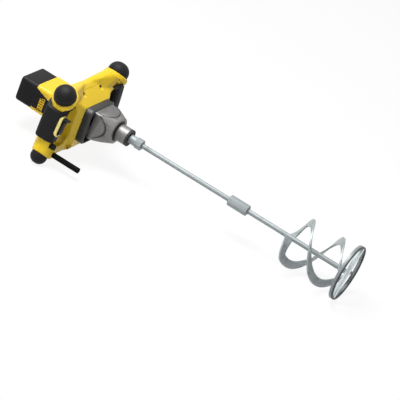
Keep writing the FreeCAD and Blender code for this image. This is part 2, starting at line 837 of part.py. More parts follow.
def barrel_corners(inset):
    """What the rounding of the barrel's long corners takes away from it."""
    half_y = barrel_half_y.value - inset
    half_z = barrel_half_z.value - inset
    start = (cover_front - d.barrel_step).value
    length = (flare_x - d.shell_fillet * 0.5).value - start
    blank = Part.makeBox(length, 2 * half_y, 2 * half_z, Vector(start, -half_y, motor_z.value - half_z))
    long = [edge for edge in blank.Edges if abs(edge.BoundBox.XLength - length) < FLAT]
    corner = (d.cover_corner + d.barrel_step).value - inset
    return blank.cut(blank.makeFillet(corner, long))


def armed_body(inset):
    """The body with its four arms, or its hollow when an inset is given."""
    body = prism(front_outline(), "X", inset)
    body = body.common(prism(side_outline(), "Y", inset))
    body = body.common(prism(top_outline(), "Z", inset))
    return body.cut(barrel_corners(inset)).Solids[0]


def corner_frames():
    """Name, cap place, outward direction, cap radius and boss length of the four corners."""
    splay = math.radians(d.cap_splay.value)
    corners = []
    for side, across in (("left", -1), ("right", 1)):
        for level, up in (("upper", 1), ("lower", -1)):
            if level == "upper":
                y, z = d.upper_cap_y, d.upper_cap_z
                radius, height, length = d.upper_cap_radius, d.upper_cap_height, d.upper_boss_length
            else:
                y, z = d.lower_cap_y, d.lower_cap_z
                radius, height, length = d.lower_cap_radius, d.lower_cap_height, d.lower_boss_length
            way = Vector(0, across * math.sin(splay), up * math.cos(splay))
            corners.append((f"{side}_{level}", y * across, z * up, way, radius, height, length))
    return corners


def boss(corner, radius, near, far):
    """A cylinder about a corner's cap axis, between two depths below the cap's base."""
    name, y, z, way, cap_radius, height, length = corner
    base = Vector(frame_x.value, y.value, z.value) - way * far
    return Part.makeCylinder(radius, far - near, base, way)


def handle_frame(side):
    """Middle of a handle, its direction upwards and its length between the two caps."""
    top = Vector(frame_x.value, side * d.upper_cap_y.value, d.upper_cap_z.value)
    foot = Vector(frame_x.value, side * d.lower_cap_y.value, -d.lower_cap_z.value)
    run = top - foot
    return (top + foot) * 0.5, Vector(run).normalize(), run.Length


def handle_turn(side):
    """The rotation that stands Z along a handle and keeps X."""
    way = handle_frame(side)[1]
    return Rotation(Vector(1, 0, 0), math.degrees(math.atan2(-way.y, way.z)))


def handle_block(side, x_low, x_high, half_y, low, high, corner=0):
    """A block in a handle's own frame, with its long edges rounded."""
    middle = handle_frame(side)[0]
    shape = Part.makeBox(x_high - x_low, 2 * half_y, high - low, Vector(x_low, -half_y, low))
    if corner:
        upright = [edge for edge in shape.Edges if abs(edge.BoundBox.ZLength - (high - low)) < FLAT]
        shape = shape.makeFillet(corner, upright)
    shape.Placement = Placement(middle, handle_turn(side))
    return shape


def handle_bar(side, grow, low, high):
    """The handle's bar, grown by a wall or shrunk by it."""
    half_x = d.bar_half_x.value + grow
    half_y = d.bar_half_y.value + grow
    return handle_block(side, -half_x, half_x, half_y, low, high, d.bar_corner.value + grow)


def handle_pad(x_low, x_high, half_y, low, high):
    """A pad with round ends on the outer half of the trigger handle, in the handle's own frame."""
    depth = x_high - x_low
    middle = -d.trigger_out.value
    shape = Part.makeBox(depth, 2 * half_y, high - low - 2 * half_y,
                         Vector(x_low, middle - half_y, low + half_y))
    for end in (low + half_y, high - half_y):
        shape = shape.fuse(Part.makeCylinder(half_y, depth, Vector(x_low, middle, end), Vector(1, 0, 0)))
    shape = shape.removeSplitter()
    shape.Placement = Placement(handle_frame(-1)[0], handle_turn(-1))
    return shape


def bar_ends(side):
    """How far a bar reaches below and above its middle, inside the two bosses."""
    half = handle_frame(side)[2] / 2
    return -half + d.lower_boss_length.value / 2, half - d.upper_boss_length.value


def shell_outer():
    """The whole yellow body from outside."""
    body = armed_body(0)
    for corner in corner_frames():
        rim = corner[4].value + d.boss_rim.value
        body = body.fuse(boss(corner, rim, 0, corner[6].value))
    for side in (-1, 1):
        body = body.fuse(handle_bar(side, 0, *bar_ends(side)))
    return body.removeSplitter()


def shell_hollow():
    """The space inside the yellow body."""
    wall = d.shell_wall.value
    space = armed_body(wall)
    for corner in corner_frames():
        rim = corner[4].value + d.boss_rim.value - wall
        space = space.fuse(boss(corner, rim, d.cap_plug_depth.value + wall, corner[6].value))
    for side in (-1, 1):
        space = space.fuse(handle_bar(side, -wall, *bar_ends(side)))
    return space


def screw_places():
    """Station of the head, and place across and up, of each shell screw."""
    shares = ((0.53, 0.77), (1.35, 0.75), (0.85, -0.8))
    places = []
    for across, up in shares:
        top = d.ridge_top if up > 0 else d.ridge_bottom
        rim = (plate_z + d.plate_half_z) if up > 0 else (d.plate_half_z - plate_z)
        rise = top.value * abs(up)
        slope = d.ridge_back.value / (top - rim).value
        surface = plate_back.value - (rise - rim.value) * slope
        head = min(surface, (frame_x + d.arm_half_x).value) - d.screw_well.value
        for side in (-1, 1):
            places.append((head, side * d.waist_half_y.value * across, top.value * up))
    return places


def along_x(radius, start, end, y, z):
    """A plain cylinder along X."""
    return Part.makeCylinder(radius, end - start, Vector(start, y, z), Vector(1, 0, 0))


def shell_inside_parts(outer):
    """Screw columns and stator ribs that stand inside the shell."""
    parts = []
    back = (frame_x - d.arm_half_x).value
    for head, y, z in screw_places():
        parts.append(along_x(d.screw_column.value, back, plate_back.value, y, z).common(outer))
    stator = stator_space()
    for near in (stator_back, stator_front - d.rib_thick * 2):
        reach = d.arm_half_y.value
        slab = Part.makeBox(d.rib_thick.value, 2 * reach, 2 * reach,
                            Vector((near + d.rib_thick).value, -reach, -reach))
        parts.append(slab.common(outer).cut(stator))
    return parts


def stator_space():
    """The room for the stator inside the ribs."""
    half_y = d.stator_half_y.value
    half_z = d.stator_half_z.value
    room = Part.makeBox(stator_length.value, 2 * half_y, 2 * half_z,
                        Vector(stator_back.value, -half_y, motor_z.value - half_z))
    long = [edge for edge in room.Edges if abs(edge.BoundBox.XLength - stator_length.value) < FLAT]
    return room.makeFillet(d.stator_corner.value, long)


guard_base = frame_x + d.bar_half_x + d.guard_socket_reach - d.guard_seat_depth
socket_front = frame_x + d.bar_half_x + d.guard_socket_reach


def shell_cuts():
    """Openings of the shell: cap seats, trigger slot, lock hole, guard bore, screws and both ends."""
    cuts = []
    fit = d.run_fit.value
    for corner in corner_frames():
        cuts.append(boss(corner, corner[4].value + fit, -d.overrun.value, d.cap_plug_depth.value))
    for head, y, z in screw_places():
        seat = head - d.screw_head_length.value
        cuts.append(along_x(d.screw_head_radius.value + fit, seat, head + d.overrun.value * 2, y, z))
        cuts.append(along_x(d.screw_radius.value + fit, seat - d.screw_length.value, seat, y, z))
    cuts.append(trigger_shape(d.slide_gap.value, d.overrun.value))
    cuts.append(lock_shape(d.slide_gap.value, d.overrun.value))
    pocket = (d.guard_radius + d.guard_flange).value + fit
    flange = (guard_base + d.guard_flange_length).value
    cuts.append(along_x(pocket, frame_x.value, flange, -d.guard_y.value, -d.guard_z.value))
    cuts.append(along_x(d.guard_radius.value + fit, flange, socket_front.value + d.overrun.value,
                        -d.guard_y.value, -d.guard_z.value))
    front_hole = (d.front_bearing_radius + d.bearing_boss_wall).value + fit
    cuts.append(along_x(front_hole, motor_boss_back.value, 0, 0, motor_z.value))
    half_y = (d.cover_half_y - d.cover_wall * 2).value
    half_z = (d.cover_half_z - d.cover_wall).value
    cuts.append(Part.makeBox(d.overrun.value * 2, 2 * half_y, 2 * half_z,
                             Vector(cover_front.value - d.overrun.value, -half_y,
                                    motor_z.value - half_z)))
    for y, z in plate_screw_places():
        cuts.append(along_x(d.screw_radius.value + fit, (plate_back - d.overrun).value, 0, y.value, z.value))
    return cuts


def make_shells():
    """The two half shells, split across the shaft at the handles' middle plane."""
    outer = shell_outer()
    socket = along_x((d.guard_radius + d.guard_flange + d.guard_socket_wall).value, frame_x.value,
                     socket_front.value, -d.guard_y.value, -d.guard_z.value)
    shell = outer.fuse(socket).cut(shell_hollow())
    for part in shell_inside_parts(outer):
        shell = shell.fuse(part)
    for tool in shell_cuts():
        shell = shell.cut(tool)
    reach = 2 * (d.body_length + d.arm_half_y).value
    half = Part.makeBox(reach, reach, reach, Vector(frame_x.value, -reach / 2, -reach / 2))
    solid_feature("front_shell", largest(shell.common(half)))
    half.translate(Vector(-reach, 0, 0))
    solid_feature("rear_shell", largest(shell.common(half)))


def largest(shape):
    """The largest solid of a shape, without the faces that a fuse leaves split."""
    return max(shape.removeSplitter().Solids, key=lambda solid: solid.Volume)


def make_caps():
    """Rounded bumpers, plugged into the four corner bosses."""
    for corner in corner_frames():
        name, y, z, way, radius, height, length = corner
        body = turned_shaft(f"{name}_bumper", [(-d.cap_plug_depth, height, radius)], y, z)
        doc.recompute()
        base = body.Tip
        dome = body.newObject("PartDesign::Fillet", "dome")
        dome.Base = (base, edges_at(base.Shape, height.value))
        round_share = 0.93
        bind(dome, "Radius", radius * round_share)
        body.Placement.Rotation = Rotation(Vector(1, 0, 0), way)
        place(body, frame_x, y, z)


# Grips and controls


def trigger_shape(grow, extra):
    """The trigger, or its slot when it is grown and lengthened."""
    low = d.trigger_up.value - d.trigger_length.value / 2 - grow
    high = d.trigger_up.value + d.trigger_length.value / 2 + grow
    half = d.trigger_width.value / 2 + grow
    back = (d.bar_half_x - d.trigger_depth).value - (d.trigger_travel.value if extra else 0)
    front = (d.bar_half_x + d.grip_wall + d.trigger_reach).value + extra
    return handle_pad(back, front, half, low, high)


def lock_shape(grow, extra):
    """The lock button, or its hole when it is grown and lengthened."""
    middle, way, length = handle_frame(-1)
    back = (d.bar_half_x - d.lock_depth).value - (d.lock_travel.value if extra else 0)
    front = (d.bar_half_x + d.lock_reach).value + extra
    base = middle - way * d.lock_down.value + Vector(back, 0, 0)
    return Part.makeCylinder(d.lock_radius.value + grow, front - back, base, Vector(1, 0, 0))


def bezel_block(grow, back, front):
    """The outline of the trigger's bezel between two stations of the handle's frame."""
    low = d.trigger_up.value - d.trigger_length.value / 2 - grow
    high = d.trigger_up.value + d.trigger_length.value / 2 + grow
    return handle_pad(back, front, d.trigger_width.value / 2 + grow, low, high)


def make_grips():
    """Soft sleeves round both handle bars, thicker at the back and trimmed to the arms and corner bosses."""
    low = -d.grip_bottom.value
    high = d.grip_top.value
    gap = d.slide_gap.value
    front = (d.bar_half_x + d.grip_wall).value
    back = (d.bar_half_x + d.grip_back_wall).value
    half_y = (d.bar_half_y + d.grip_side_wall).value
    arms = armed_body(0)
    for side, name in ((-1, "trigger_grip"), (1, "plain_grip")):
        sleeve = handle_block(side, -back, front, half_y, low, high, d.grip_corner.value).cut(arms)
        sleeve = sleeve.cut(handle_bar(side, d.run_fit.value, 2 * low, 2 * high))
        for corner in corner_frames():
            rim = corner[4].value + d.boss_rim.value + gap
            sleeve = sleeve.cut(boss(corner, rim, -d.overrun.value, corner[6].value + gap))
        if side < 0:
            window = d.slide_gap.value * 2 + d.bezel_rim.value
            sleeve = sleeve.cut(bezel_block(window, d.bar_half_x.value / 2,
                                            (d.bar_half_x + d.grip_wall + d.overrun).value))
        solid_feature(name, largest(sleeve))


def make_controls():
    """Trigger with its bezel and switch, and the lock button."""
    trigger = trigger_shape(0, 0)
    front = max(trigger.Faces, key=lambda face: face.CenterOfMass.x)
    solid_feature("trigger", trigger.makeFillet(d.trigger_corner.value, front.Edges))
    gap = d.slide_gap.value
    back = d.bar_half_x.value
    reach = (d.bar_half_x + d.grip_wall + d.bezel_reach).value
    bezel = bezel_block(gap + d.bezel_rim.value, back, reach)
    bezel = bezel.cut(bezel_block(gap, back, reach))
    solid_feature("trigger_bezel", bezel.cut(handle_bar(-1, 0, -d.grip_bottom.value, d.grip_top.value)))
    lock = lock_shape(0, 0)
    rim = max(lock.Edges, key=lambda edge: edge.CenterOfMass.x)
    round_share = 0.6
    solid_feature("lock_button", lock.makeFillet(d.lock_radius.value * round_share, [rim]))
    switch_back = d.shell_wall.value - d.bar_half_x.value
    half = d.switch_length.value / 2
    up = d.trigger_up.value
    corner = (d.bar_corner - d.shell_wall).value
    solid_feature("switch_body", handle_block(-1, switch_back, switch_back + d.switch_depth.value,
                                              d.switch_width.value / 2, up - half, up + half, corner))


def make_guard():
    """The cord guard: a sleeve with a flange that the shell holds, open for a cord."""
    flange = d.guard_radius + d.guard_flange
    step = guard_base + d.guard_flange_length
    end = guard_base + d.guard_length + d.guard_seat_depth
    turned("cord_guard", [
        (guard_base, d.guard_bore), (end, d.guard_bore), (end, d.guard_radius),
        (step, d.guard_radius), (step, flange), (guard_base, flange)], -d.guard_y, -d.guard_z)


# Screws


def plate_screw_places():
    """Places across and up of the screws between shell and plate."""
    across = d.plate_half_y - d.plate_screw_inset
    up = d.plate_half_z - d.plate_screw_inset
    return [(y, z) for y in (-across, across) for z in (plate_z - up, plate_z + up)]


def screw(label, head_front, shank, length, y, z, flip=1):
    """A pan head screw along X, pointing to -X, or to +X when flipped."""
    head = along_x(d.screw_head_radius.value, -d.screw_head_length.value, 0, 0, 0)
    body = head.fuse(along_x(shank, -d.screw_head_length.value - length, 0, 0, 0)).removeSplitter()
    turn = Rotation(Vector(0, 0, 1), 0 if flip > 0 else 180)
    solid_feature(label, body, Placement(Vector(head_front, y, z), turn))


def make_screws():
    """Screws that hold the half shells together, and the plate to the front shell."""
    for number, (head, y, z) in enumerate(screw_places(), start=1):
        screw(f"shell_screw_{number}", head, d.screw_radius.value, d.screw_length.value, y, z)
    seat = (plate_back - d.shell_wall - d.screw_head_length).value
    for number, (y, z) in enumerate(plate_screw_places(), start=1):
        screw(f"plate_screw_{number}", seat, d.screw_radius.value, d.plate_screw_length.value,
              y.value, z.value, -1)


# Paddle


def hex_collar(label, start, end):
    """A hexagonal collar on the rod."""
    side = d.hex_flats.value / math.sqrt(3)
    corners = [Vector(start.value, side * math.cos(math.radians(60 * step)),
                      side * math.sin(math.radians(60 * step))) for step in range(7)]
    width = (end - start).value
    collar = Part.Face(Part.makePolygon(corners)).extrude(Vector(width, 0, 0))
    bore = d.rod_radius.value + d.run_fit.value
    solid_feature(label, collar.cut(along_x(bore, start.value, end.value, 0, 0)))


def ribbon_middle(share, turn):
    """The middle of a ribbon at a share of its run: it leaves the rod, winds and swells to meet the ring."""
    full = (d.ribbon_radius - d.ribbon_width * 0.5).value
    lead = min(1.0, share / RIBBON_LEAD_SHARE)
    tail = max(0.0, 1 - (1 - share) / RIBBON_TAIL_SHARE)
    radius = d.rod_radius.value + (full - d.rod_radius.value) * math.sin(lead * math.pi / 2)
    radius += (d.ring_radius - d.ring_wall * 0.5 - d.ribbon_radius).value * tail * tail
    angle = math.radians(turn) - 2 * math.pi * RIBBON_TURNS * (1 - share)
    run = (ring_back - d.ribbon_start).value
    return Vector(d.ribbon_start.value + run * share, radius * math.cos(angle), radius * math.sin(angle))


def ribbon_frame(share, turn):
    """Middle of a ribbon, the way across its width and the way through its thickness."""
    middle = ribbon_middle(share, turn)
    step = 1e-4
    along = (ribbon_middle(share + step, turn) - ribbon_middle(share - step, turn)).normalize()
    outward = Vector(0, middle.y, middle.z).normalize()
    across = Vector(outward - along * outward.dot(along)).normalize()
    return middle, across, along.cross(across)


def ribbon_section(share, turn):
    """The outline of a ribbon's section at a share of its run."""
    middle, across, through = ribbon_frame(share, turn)
    wide = across * (d.ribbon_width.value / 2)
    half = through * (d.ribbon_thick.value / 2)
    corners = [middle - wide - half, middle + wide - half, middle + wide + half, middle - wide + half]
    return Part.makePolygon(corners + corners[:1])


def ribbon(label, turn):
    """A flat strip wound round the rod, fitted to the rod and to the back of the ring."""
    crowding = 1.6
    strip = Part.makeLoft([ribbon_section((step / RIBBON_STEPS) ** crowding, turn)
                           for step in range(RIBBON_STEPS + 1)], True)
    rod_core = along_x(d.rod_radius.value, d.ribbon_start.value - d.ribbon_width.value, ring_back.value, 0, 0)
    beyond = along_x(d.ring_radius.value + d.ribbon_width.value, ring_back.value,
                     (ring_back + d.ribbon_width).value, 0, 0)
    solid_feature(label, largest(strip.cut(rod_core).cut(beyond)))


def make_paddle():
    """Rod, couplings, ring, cross bar and two ribbons, welded to one another."""
    turned_shaft("upper_rod", [(d.nose_length - d.socket_depth, d.coupling_start + d.coupling_length * 0.5,
                                d.rod_radius)])
    turned_shaft("lower_rod", [(d.coupling_start + d.coupling_length * 0.5, ring_back, d.rod_radius)])
    hex_collar("stem_hex", d.nose_length, hex_front)
    hex_collar("rod_coupling", d.coupling_start, coupling_end)
    turned_ring("paddle_ring", ring_back, ring_back + d.ring_width, d.ring_radius - d.ring_wall,
                d.ring_radius)
    reach = (d.ring_radius - d.ring_wall).value
    half = d.bar_width.value / 2
    bar = Part.makeBox(d.ring_width.value, 2 * d.ring_radius.value, 2 * half,
                       Vector(ring_back.value, -d.ring_radius.value, -half))
    inside = along_x(reach, ring_back.value, (ring_back + d.ring_width).value, 0, 0)
    bar.rotate(Vector(), Vector(1, 0, 0), CROSS_BAR_ANGLE)
    solid_feature("cross_bar", bar.common(inside))
    ribbon("first_ribbon", RIBBON_END_ANGLE)
    ribbon("second_ribbon", RIBBON_END_ANGLE + 180)


def build():
    """Makes every sub-part."""
    make_shells()
    make_caps()
    make_grips()
    make_controls()
    make_guard()
    make_screws()
    make_cover()
    make_plate()
    make_case()
    make_bearings()
    make_gears()
    make_spindle()
    make_armature()
    make_fan()
    make_stator()
    make_brushes()
    make_paddle()
    doc.recompute()


def check():
    """Stops when an object of the document failed or a sub-part has no sound solid."""
    for item in doc.Objects:
        if "Invalid" in item.State or "Error" in item.State:
            raise RuntimeError(f"{item.Label} failed: {item.State}")
    for piece in pieces:
        shape = piece.Shape
        if shape.isNull() or not shape.isValid() or not shape.Solids:
            raise RuntimeError(f"{piece.Label} has no sound solid")


def write():
    """Writes each sub-part to a file of its own."""
    os.makedirs("parts", exist_ok=True)
    for piece in pieces:
        piece.Shape.exportStep(f"parts/{piece.Label}.step")
        print(piece.Label, len(piece.Shape.Solids), round(piece.Shape.Volume))


build()
check()
write()
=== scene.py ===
"""Looks of a hand-held paddle mixer with a frame handle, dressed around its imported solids."""

import json
import math

import bmesh
import bpy
from bpy.props import FloatProperty, FloatVectorProperty, IntProperty, PointerProperty
from mathutils import Matrix, Quaternion, Vector


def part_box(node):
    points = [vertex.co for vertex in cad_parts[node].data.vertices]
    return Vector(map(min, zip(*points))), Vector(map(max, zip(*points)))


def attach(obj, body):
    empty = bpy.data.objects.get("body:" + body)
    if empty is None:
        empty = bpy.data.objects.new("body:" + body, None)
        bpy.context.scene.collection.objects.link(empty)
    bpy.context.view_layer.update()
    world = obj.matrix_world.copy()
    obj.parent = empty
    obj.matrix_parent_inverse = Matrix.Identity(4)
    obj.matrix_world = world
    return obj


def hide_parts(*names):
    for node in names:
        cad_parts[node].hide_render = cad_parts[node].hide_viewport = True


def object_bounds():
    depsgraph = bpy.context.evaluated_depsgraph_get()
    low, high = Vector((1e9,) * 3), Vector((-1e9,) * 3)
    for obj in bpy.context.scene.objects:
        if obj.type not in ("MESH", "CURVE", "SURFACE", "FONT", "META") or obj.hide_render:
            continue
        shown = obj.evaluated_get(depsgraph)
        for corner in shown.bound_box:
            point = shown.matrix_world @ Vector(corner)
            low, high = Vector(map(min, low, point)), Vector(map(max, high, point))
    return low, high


bl_info = {
    "name": "Paddle mixer looks",
    "version": (1, 0, 0),
    "blender": (4, 5, 0),
    "location": "View3D > Sidebar > Mixer",
    "description": "Dresses the packed solids of a paddle mixer with moulded shells, grips and finishes",
    "category": "Object",
}

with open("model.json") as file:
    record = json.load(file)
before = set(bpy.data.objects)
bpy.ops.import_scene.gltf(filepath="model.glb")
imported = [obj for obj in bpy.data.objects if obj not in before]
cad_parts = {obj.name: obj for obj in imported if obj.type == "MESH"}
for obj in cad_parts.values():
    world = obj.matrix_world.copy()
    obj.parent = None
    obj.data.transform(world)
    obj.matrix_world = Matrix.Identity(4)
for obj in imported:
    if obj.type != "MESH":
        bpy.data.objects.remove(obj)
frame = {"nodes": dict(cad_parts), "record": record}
cad_low, cad_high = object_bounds()
MM = 0.001
MERGE = 1e-6
SHARP_EDGE, SMOOTH_EDGE = 32, 40
X_AXIS, Z_AXIS = Vector((1, 0, 0)), Vector((0, 0, 1))
SIDES = {"left": -1, "right": 1}
TRIGGER_SIDE = "left"
SHELL_SCREWS = [f"shell_screw_{number}" for number in range(1, 7)]

# Places of the moulded body in millimetres, fitted to the solids: stations along the spindle axis, heights
# and half widths. SPAN is more than the part reaches across, and OVER is what the ends run on before they
# are cut.
PLATE_X, RIDGE_X, FRAME_X, COVER_X = -110, -155, -142, -251
PLATE_TOP, PLATE_FOOT, PLATE_WIDE = 36, -59, 56
RIDGE_TOP, RIDGE_DIP, RIDGE_FOOT, RIDGE_FULL = 73, 70, -92, 9
CHIN_X, CHIN_FOOT = -115, -83
DIP_WIDE, SHOULDER, SHOULDER_RUN, SHOULDER_DROP = 32, 97.6, 17.8, 24.6
FLARE_X, BARREL_TOP, BARREL_FOOT, BARREL_WIDE, BARREL_CHAMFER = -208, 18, -52, 49.5, 7
WAIST, ARM_REACH, ARM_DEEP = 72, 150, 21
SLANT_Y, SLANT_Z, SLANT_RUN, SLANT_DROP = 146.6, -66.4, 22.6, 25.6
GAP_TOP, GAP_FOOT, GAP_CHAMFER = 44, -62, 14
BAR_X, BAR_Y, BAR_LONG = 16, 14, 66
VENT_X, VENT_Z = -226.7, -23
SPAN, OVER = 400, 7
CAP_SPLAY = math.radians(33)
RIM_FOOT, RIM_LIP, SEAT_CLEARANCE, WELL_FLARE = 6, 4, 0.5, 6
LOCK_BORE, GUARD_BORE, GUARD_BOSS = 7.5, 7.1, 12.3
GUARD = Vector((FRAME_X, -128, -77))

# The trigger in its handle's frame, in millimetres.
TRIGGER_OUT, TRIGGER_HALF, TRIGGER_FOOT, TRIGGER_TOP, TRIGGER_REACH = 5, 8, -14, 34, 60

# The gearbox case in millimetres: the arch on its upper flat, and the taper that its flanks cut.
ARCH_X, ARCH_LONG, ARCH_WIDE, ARCH_TOP = -86, 36, 37, 33.2
TAPER_X, TAPER_RADIUS, TAPER_SLOPE, FLANK_WIDE = -90, 58, 24 / 55, 41
GROOVE = 1.3


class Boss:
    """A corner boss in millimetres: the middle of its bumper's base, the way that it points and its size."""

    def __init__(self, y, z, radius, length):
        self.base = Vector((FRAME_X, y, z))
        self.way = Vector((0, math.copysign(math.sin(CAP_SPLAY), y), math.copysign(math.cos(CAP_SPLAY), z)))
        self.radius = radius
        self.length = length


CORNERS = {
    "left_upper": Boss(-119, 67.5, 27, 12),
    "left_lower": Boss(-141, -84, 20.5, 36),
    "right_upper": Boss(119, 67.5, 27, 12),
    "right_lower": Boss(141, -84, 20.5, 36),
}


def length_of(name, description, metres):
    """A length that a user can change."""
    return FloatProperty(name=name, description=description, default=metres, unit="LENGTH")


def angle_of(name, description, degrees):
    """An angle that a user can change."""
    return FloatProperty(name=name, description=description, default=math.radians(degrees), subtype="ANGLE")


def colour_of(name, description, colour):
    """A colour that a user can change."""
    return FloatVectorProperty(name=name, description=description, default=colour, size=3, subtype="COLOR")


class ShellSizes(bpy.types.PropertyGroup):
    """Sizes of the moulded half shells."""

    voxel: length_of("Grain of the form", "Size of the cells that the form is smoothed on", 0.0021)
    passes: IntProperty(name="Softening", description="Passes that round the edges of the shell", default=14)
    seam: length_of("Seam", "Width of the line between the half shells", 0.0004)
    rim: length_of("Rim", "How far a corner's rim stands up round its bumper", 0.0012)
    well: length_of("Screw well", "Radius of the wells that the screws sit in", 0.0046)


class RibSizes(bpy.types.PropertyGroup):
    """Sizes of the vents and of the lines on the soft parts."""

    vent_count: IntProperty(name="Vent bars", description="Slots in one vent", default=5)
    vent_pitch: length_of("Vent pitch", "Distance from bar to bar", 0.0062)
    vent_bar: length_of("Vent bar", "Width of one bar", 0.0029)
    grip_count: IntProperty(name="Grip lines", description="Lines across the back of a grip", default=9)
    grip_pitch: length_of("Grip pitch", "Distance from line to line", 0.0062)


class ScrewSizes(bpy.types.PropertyGroup):
    """Sizes of the pan head screws."""

    head: length_of("Head", "Radius of the head", 0.004)
    height: length_of("Height", "Height of the head", 0.0028)
    slot: length_of("Recess", "Width of the cross recess", 0.0013)


class Finishes(bpy.types.PropertyGroup):
    """Colours of the finishes."""

    yellow: colour_of("Moulding", "Colour of the moulded shells", (0.67, 0.46, 0.012))
    bezel: colour_of("Bezel", "Colour of the trigger's pale bezel", (0.78, 0.66, 0.22))
    rubber: colour_of("Rubber", "Colour of grips and bumpers", (0.007, 0.007, 0.0075))
    plastic: colour_of("Black plastic", "Colour of cover and trigger", (0.006, 0.006, 0.0065))
    plate: colour_of("Plate", "Colour of the painted gearbox plate", (0.03, 0.03, 0.031))
    casting: colour_of("Casting", "Colour of the gearbox casting", (0.21, 0.207, 0.203))
    zinc: colour_of("Zinc", "Colour of the plated paddle", (0.27, 0.297, 0.302))


class StageSettings(bpy.types.PropertyGroup):
    """Camera and light."""

    lens: FloatProperty(name="Lens", description="Focal length in millimetres", default=180)
    azimuth: angle_of("Azimuth", "Way that the camera looks from", 19.0397)
    elevation: angle_of("Elevation", "Height that the camera looks from", 27.6257)
    roll: angle_of("Roll", "Turn of the camera about its own axis", 22.7447)
    place: FloatVectorProperty(name="Place", description="Where the camera stands", size=3, unit="LENGTH",
                               default=(1.579794, -3.937889, 2.138099))
    key: FloatProperty(name="Key light", description="Strength of the large upper lamp in watts", default=104)
    fill: FloatProperty(name="Fill light", description="Strength of the front lamp in watts", default=4)
    sky: FloatProperty(name="Sky", description="Strength of the even light from all round", default=0.19)


def operator_pair(operation):
    """An operator of Wire and its reflected form, which add one Math node."""
    return (lambda wire, other: wire.math(operation, wire, other),
            lambda wire, other: wire.math(operation, other, wire))


class Wire:
    """A socket of a node tree, whose arithmetic adds Math nodes."""

    __add__, __radd__ = operator_pair("ADD")
    __sub__, __rsub__ = operator_pair("SUBTRACT")
    __mul__, __rmul__ = operator_pair("MULTIPLY")
    __truediv__, __rtruediv__ = operator_pair("DIVIDE")

    def __init__(self, net, socket):
        self.net = net
        self.socket = socket

    def math(self, operation, first, second=0.0):
        """One Math node on one or two values."""
        return self.net.node("ShaderNodeMath", {"operation": operation}, {0: first, 1: second})

    def wave(self):
        return self.math("SINE", self)

    def peak(self, other):
        return self.math("MAXIMUM", self, other)

    def size(self):
        return self.math("ABSOLUTE", self)

    def root(self):
        return self.math("SQRT", self)


class Net:
    """A node tree under construction."""

    def __init__(self, tree):
        self.tree = tree
        self.tree.nodes.clear()

    def node(self, kind, settings, values, output=0):
        """One node with its settings set first, then the values or links of its sockets."""
        made = self.tree.nodes.new(kind)
        for key, setting in settings.items():
            setattr(made, key, setting)
        for key, value in values.items():
            for part in value if isinstance(value, list) else [value]:
                if isinstance(part, Wire):
                    self.tree.links.new(part.socket, made.inputs[key])
                else:
                    made.inputs[key].default_value = part
        return Wire(self, made.outputs[output]) if made.outputs else None

    def given(self, name):
        """One of the inputs of a group."""
        return self.node("NodeGroupInput", {}, {}, name)

    def place(self, **axes):
        """A vector from the numbers of its axes."""
        return self.node("ShaderNodeCombineXYZ", {}, axes)

    def backdrop_rays(self):
        """1 for the rays that see the backdrop: those of the camera, of gloss and of glass."""
        camera, gloss, glass = [self.node("ShaderNodeLightPath", {}, {}, f"Is {kind} Ray")
                                for kind in ("Camera", "Glossy", "Transmission")]
        return camera.peak(gloss).peak(glass)


class Finish(Net):
    """A material that is made of nodes."""

    def __init__(self, name):
        self.material = bpy.data.materials.new(name)
        self.material.use_nodes = True
        super().__init__(self.material.node_tree)
        self.places = self.node("ShaderNodeTexCoord", {}, {}, "Object")
        self.colours = bpy.context.scene.mixer_finishes

    def stretched(self, scale):
        """Object coordinates, drawn out along the axes."""
        return self.node("ShaderNodeMapping", {}, {"Vector": self.places, "Scale": scale})

    def axis(self, name):
        """One of the object coordinates in metres."""
        return self.node("ShaderNodeSeparateXYZ", {}, {"Vector": self.places}, name)

    def noise(self, scale, detail, vector=None, roughness=0.5):
        """Clouds, as many in a metre as the scale says."""
        return self.node("ShaderNodeTexNoise", {}, {"Vector": vector or self.places, "Scale": scale,
                                                    "Detail": detail, "Roughness": roughness})

    def cells(self, scale):
        """Round cells, as many in a metre as the scale says."""
        return self.node("ShaderNodeTexVoronoi", {}, {"Vector": self.places, "Scale": scale}, "Distance")

    def lines(self, axis, rate):
        """Even lines across an axis, from 0 to 1."""
        return (self.axis(axis) * rate).wave() * 0.5 + 0.5

    def between(self, value, low, high):
        """0 below low and 1 above high, with a soft step."""
        return self.node("ShaderNodeMapRange", {"interpolation_type": "SMOOTHSTEP"},
                         {"Value": value, "From Min": low, "From Max": high})

    def mixed(self, share, first, second):
        """Two colours, mixed by a share."""
        first, second = [part if isinstance(part, Wire) else (*part, 1) for part in (first, second)]
        return self.node("ShaderNodeMix", {"data_type": "RGBA"}, {0: share, 6: first, 7: second}, 2)

    def toned(self, share, colour, first, second):
        """Two tones of one colour, given as factors and mixed by a share."""
        return self.mixed(share, shaded(colour, first), shaded(colour, second))

    def bump(self, height, depth, strength):
        """Relief of a depth in metres."""
        return self.node("ShaderNodeBump", {}, {"Height": height, "Distance": depth, "Strength": strength})

    def surface(self, colour, roughness, normal, metallic=0.0, **plain):
        """The shader that ends the finish; the plain values are the same all over."""
        values = {"Base Color": colour, "Roughness": roughness, "Metallic": metallic, "Normal": normal}
        values.update({key.replace("_", " "): value for key, value in plain.items()})
        shader = self.node("ShaderNodeBsdfPrincipled", {}, values)
        self.node("ShaderNodeOutputMaterial", {}, {"Surface": shader})
        return self.material

    def one_pattern(self, pattern, tones, rough, spread, metallic, depth, strength):
        """A metal whose colour, roughness and relief all follow one pattern."""
        return self.surface(self.mixed(pattern, *tones), rough + spread * pattern,
                            self.bump(pattern, depth, strength), metallic)


def shaded(colour, share):
    """A colour made darker or brighter."""
    return tuple(min(1.0, part * share) for part in colour)


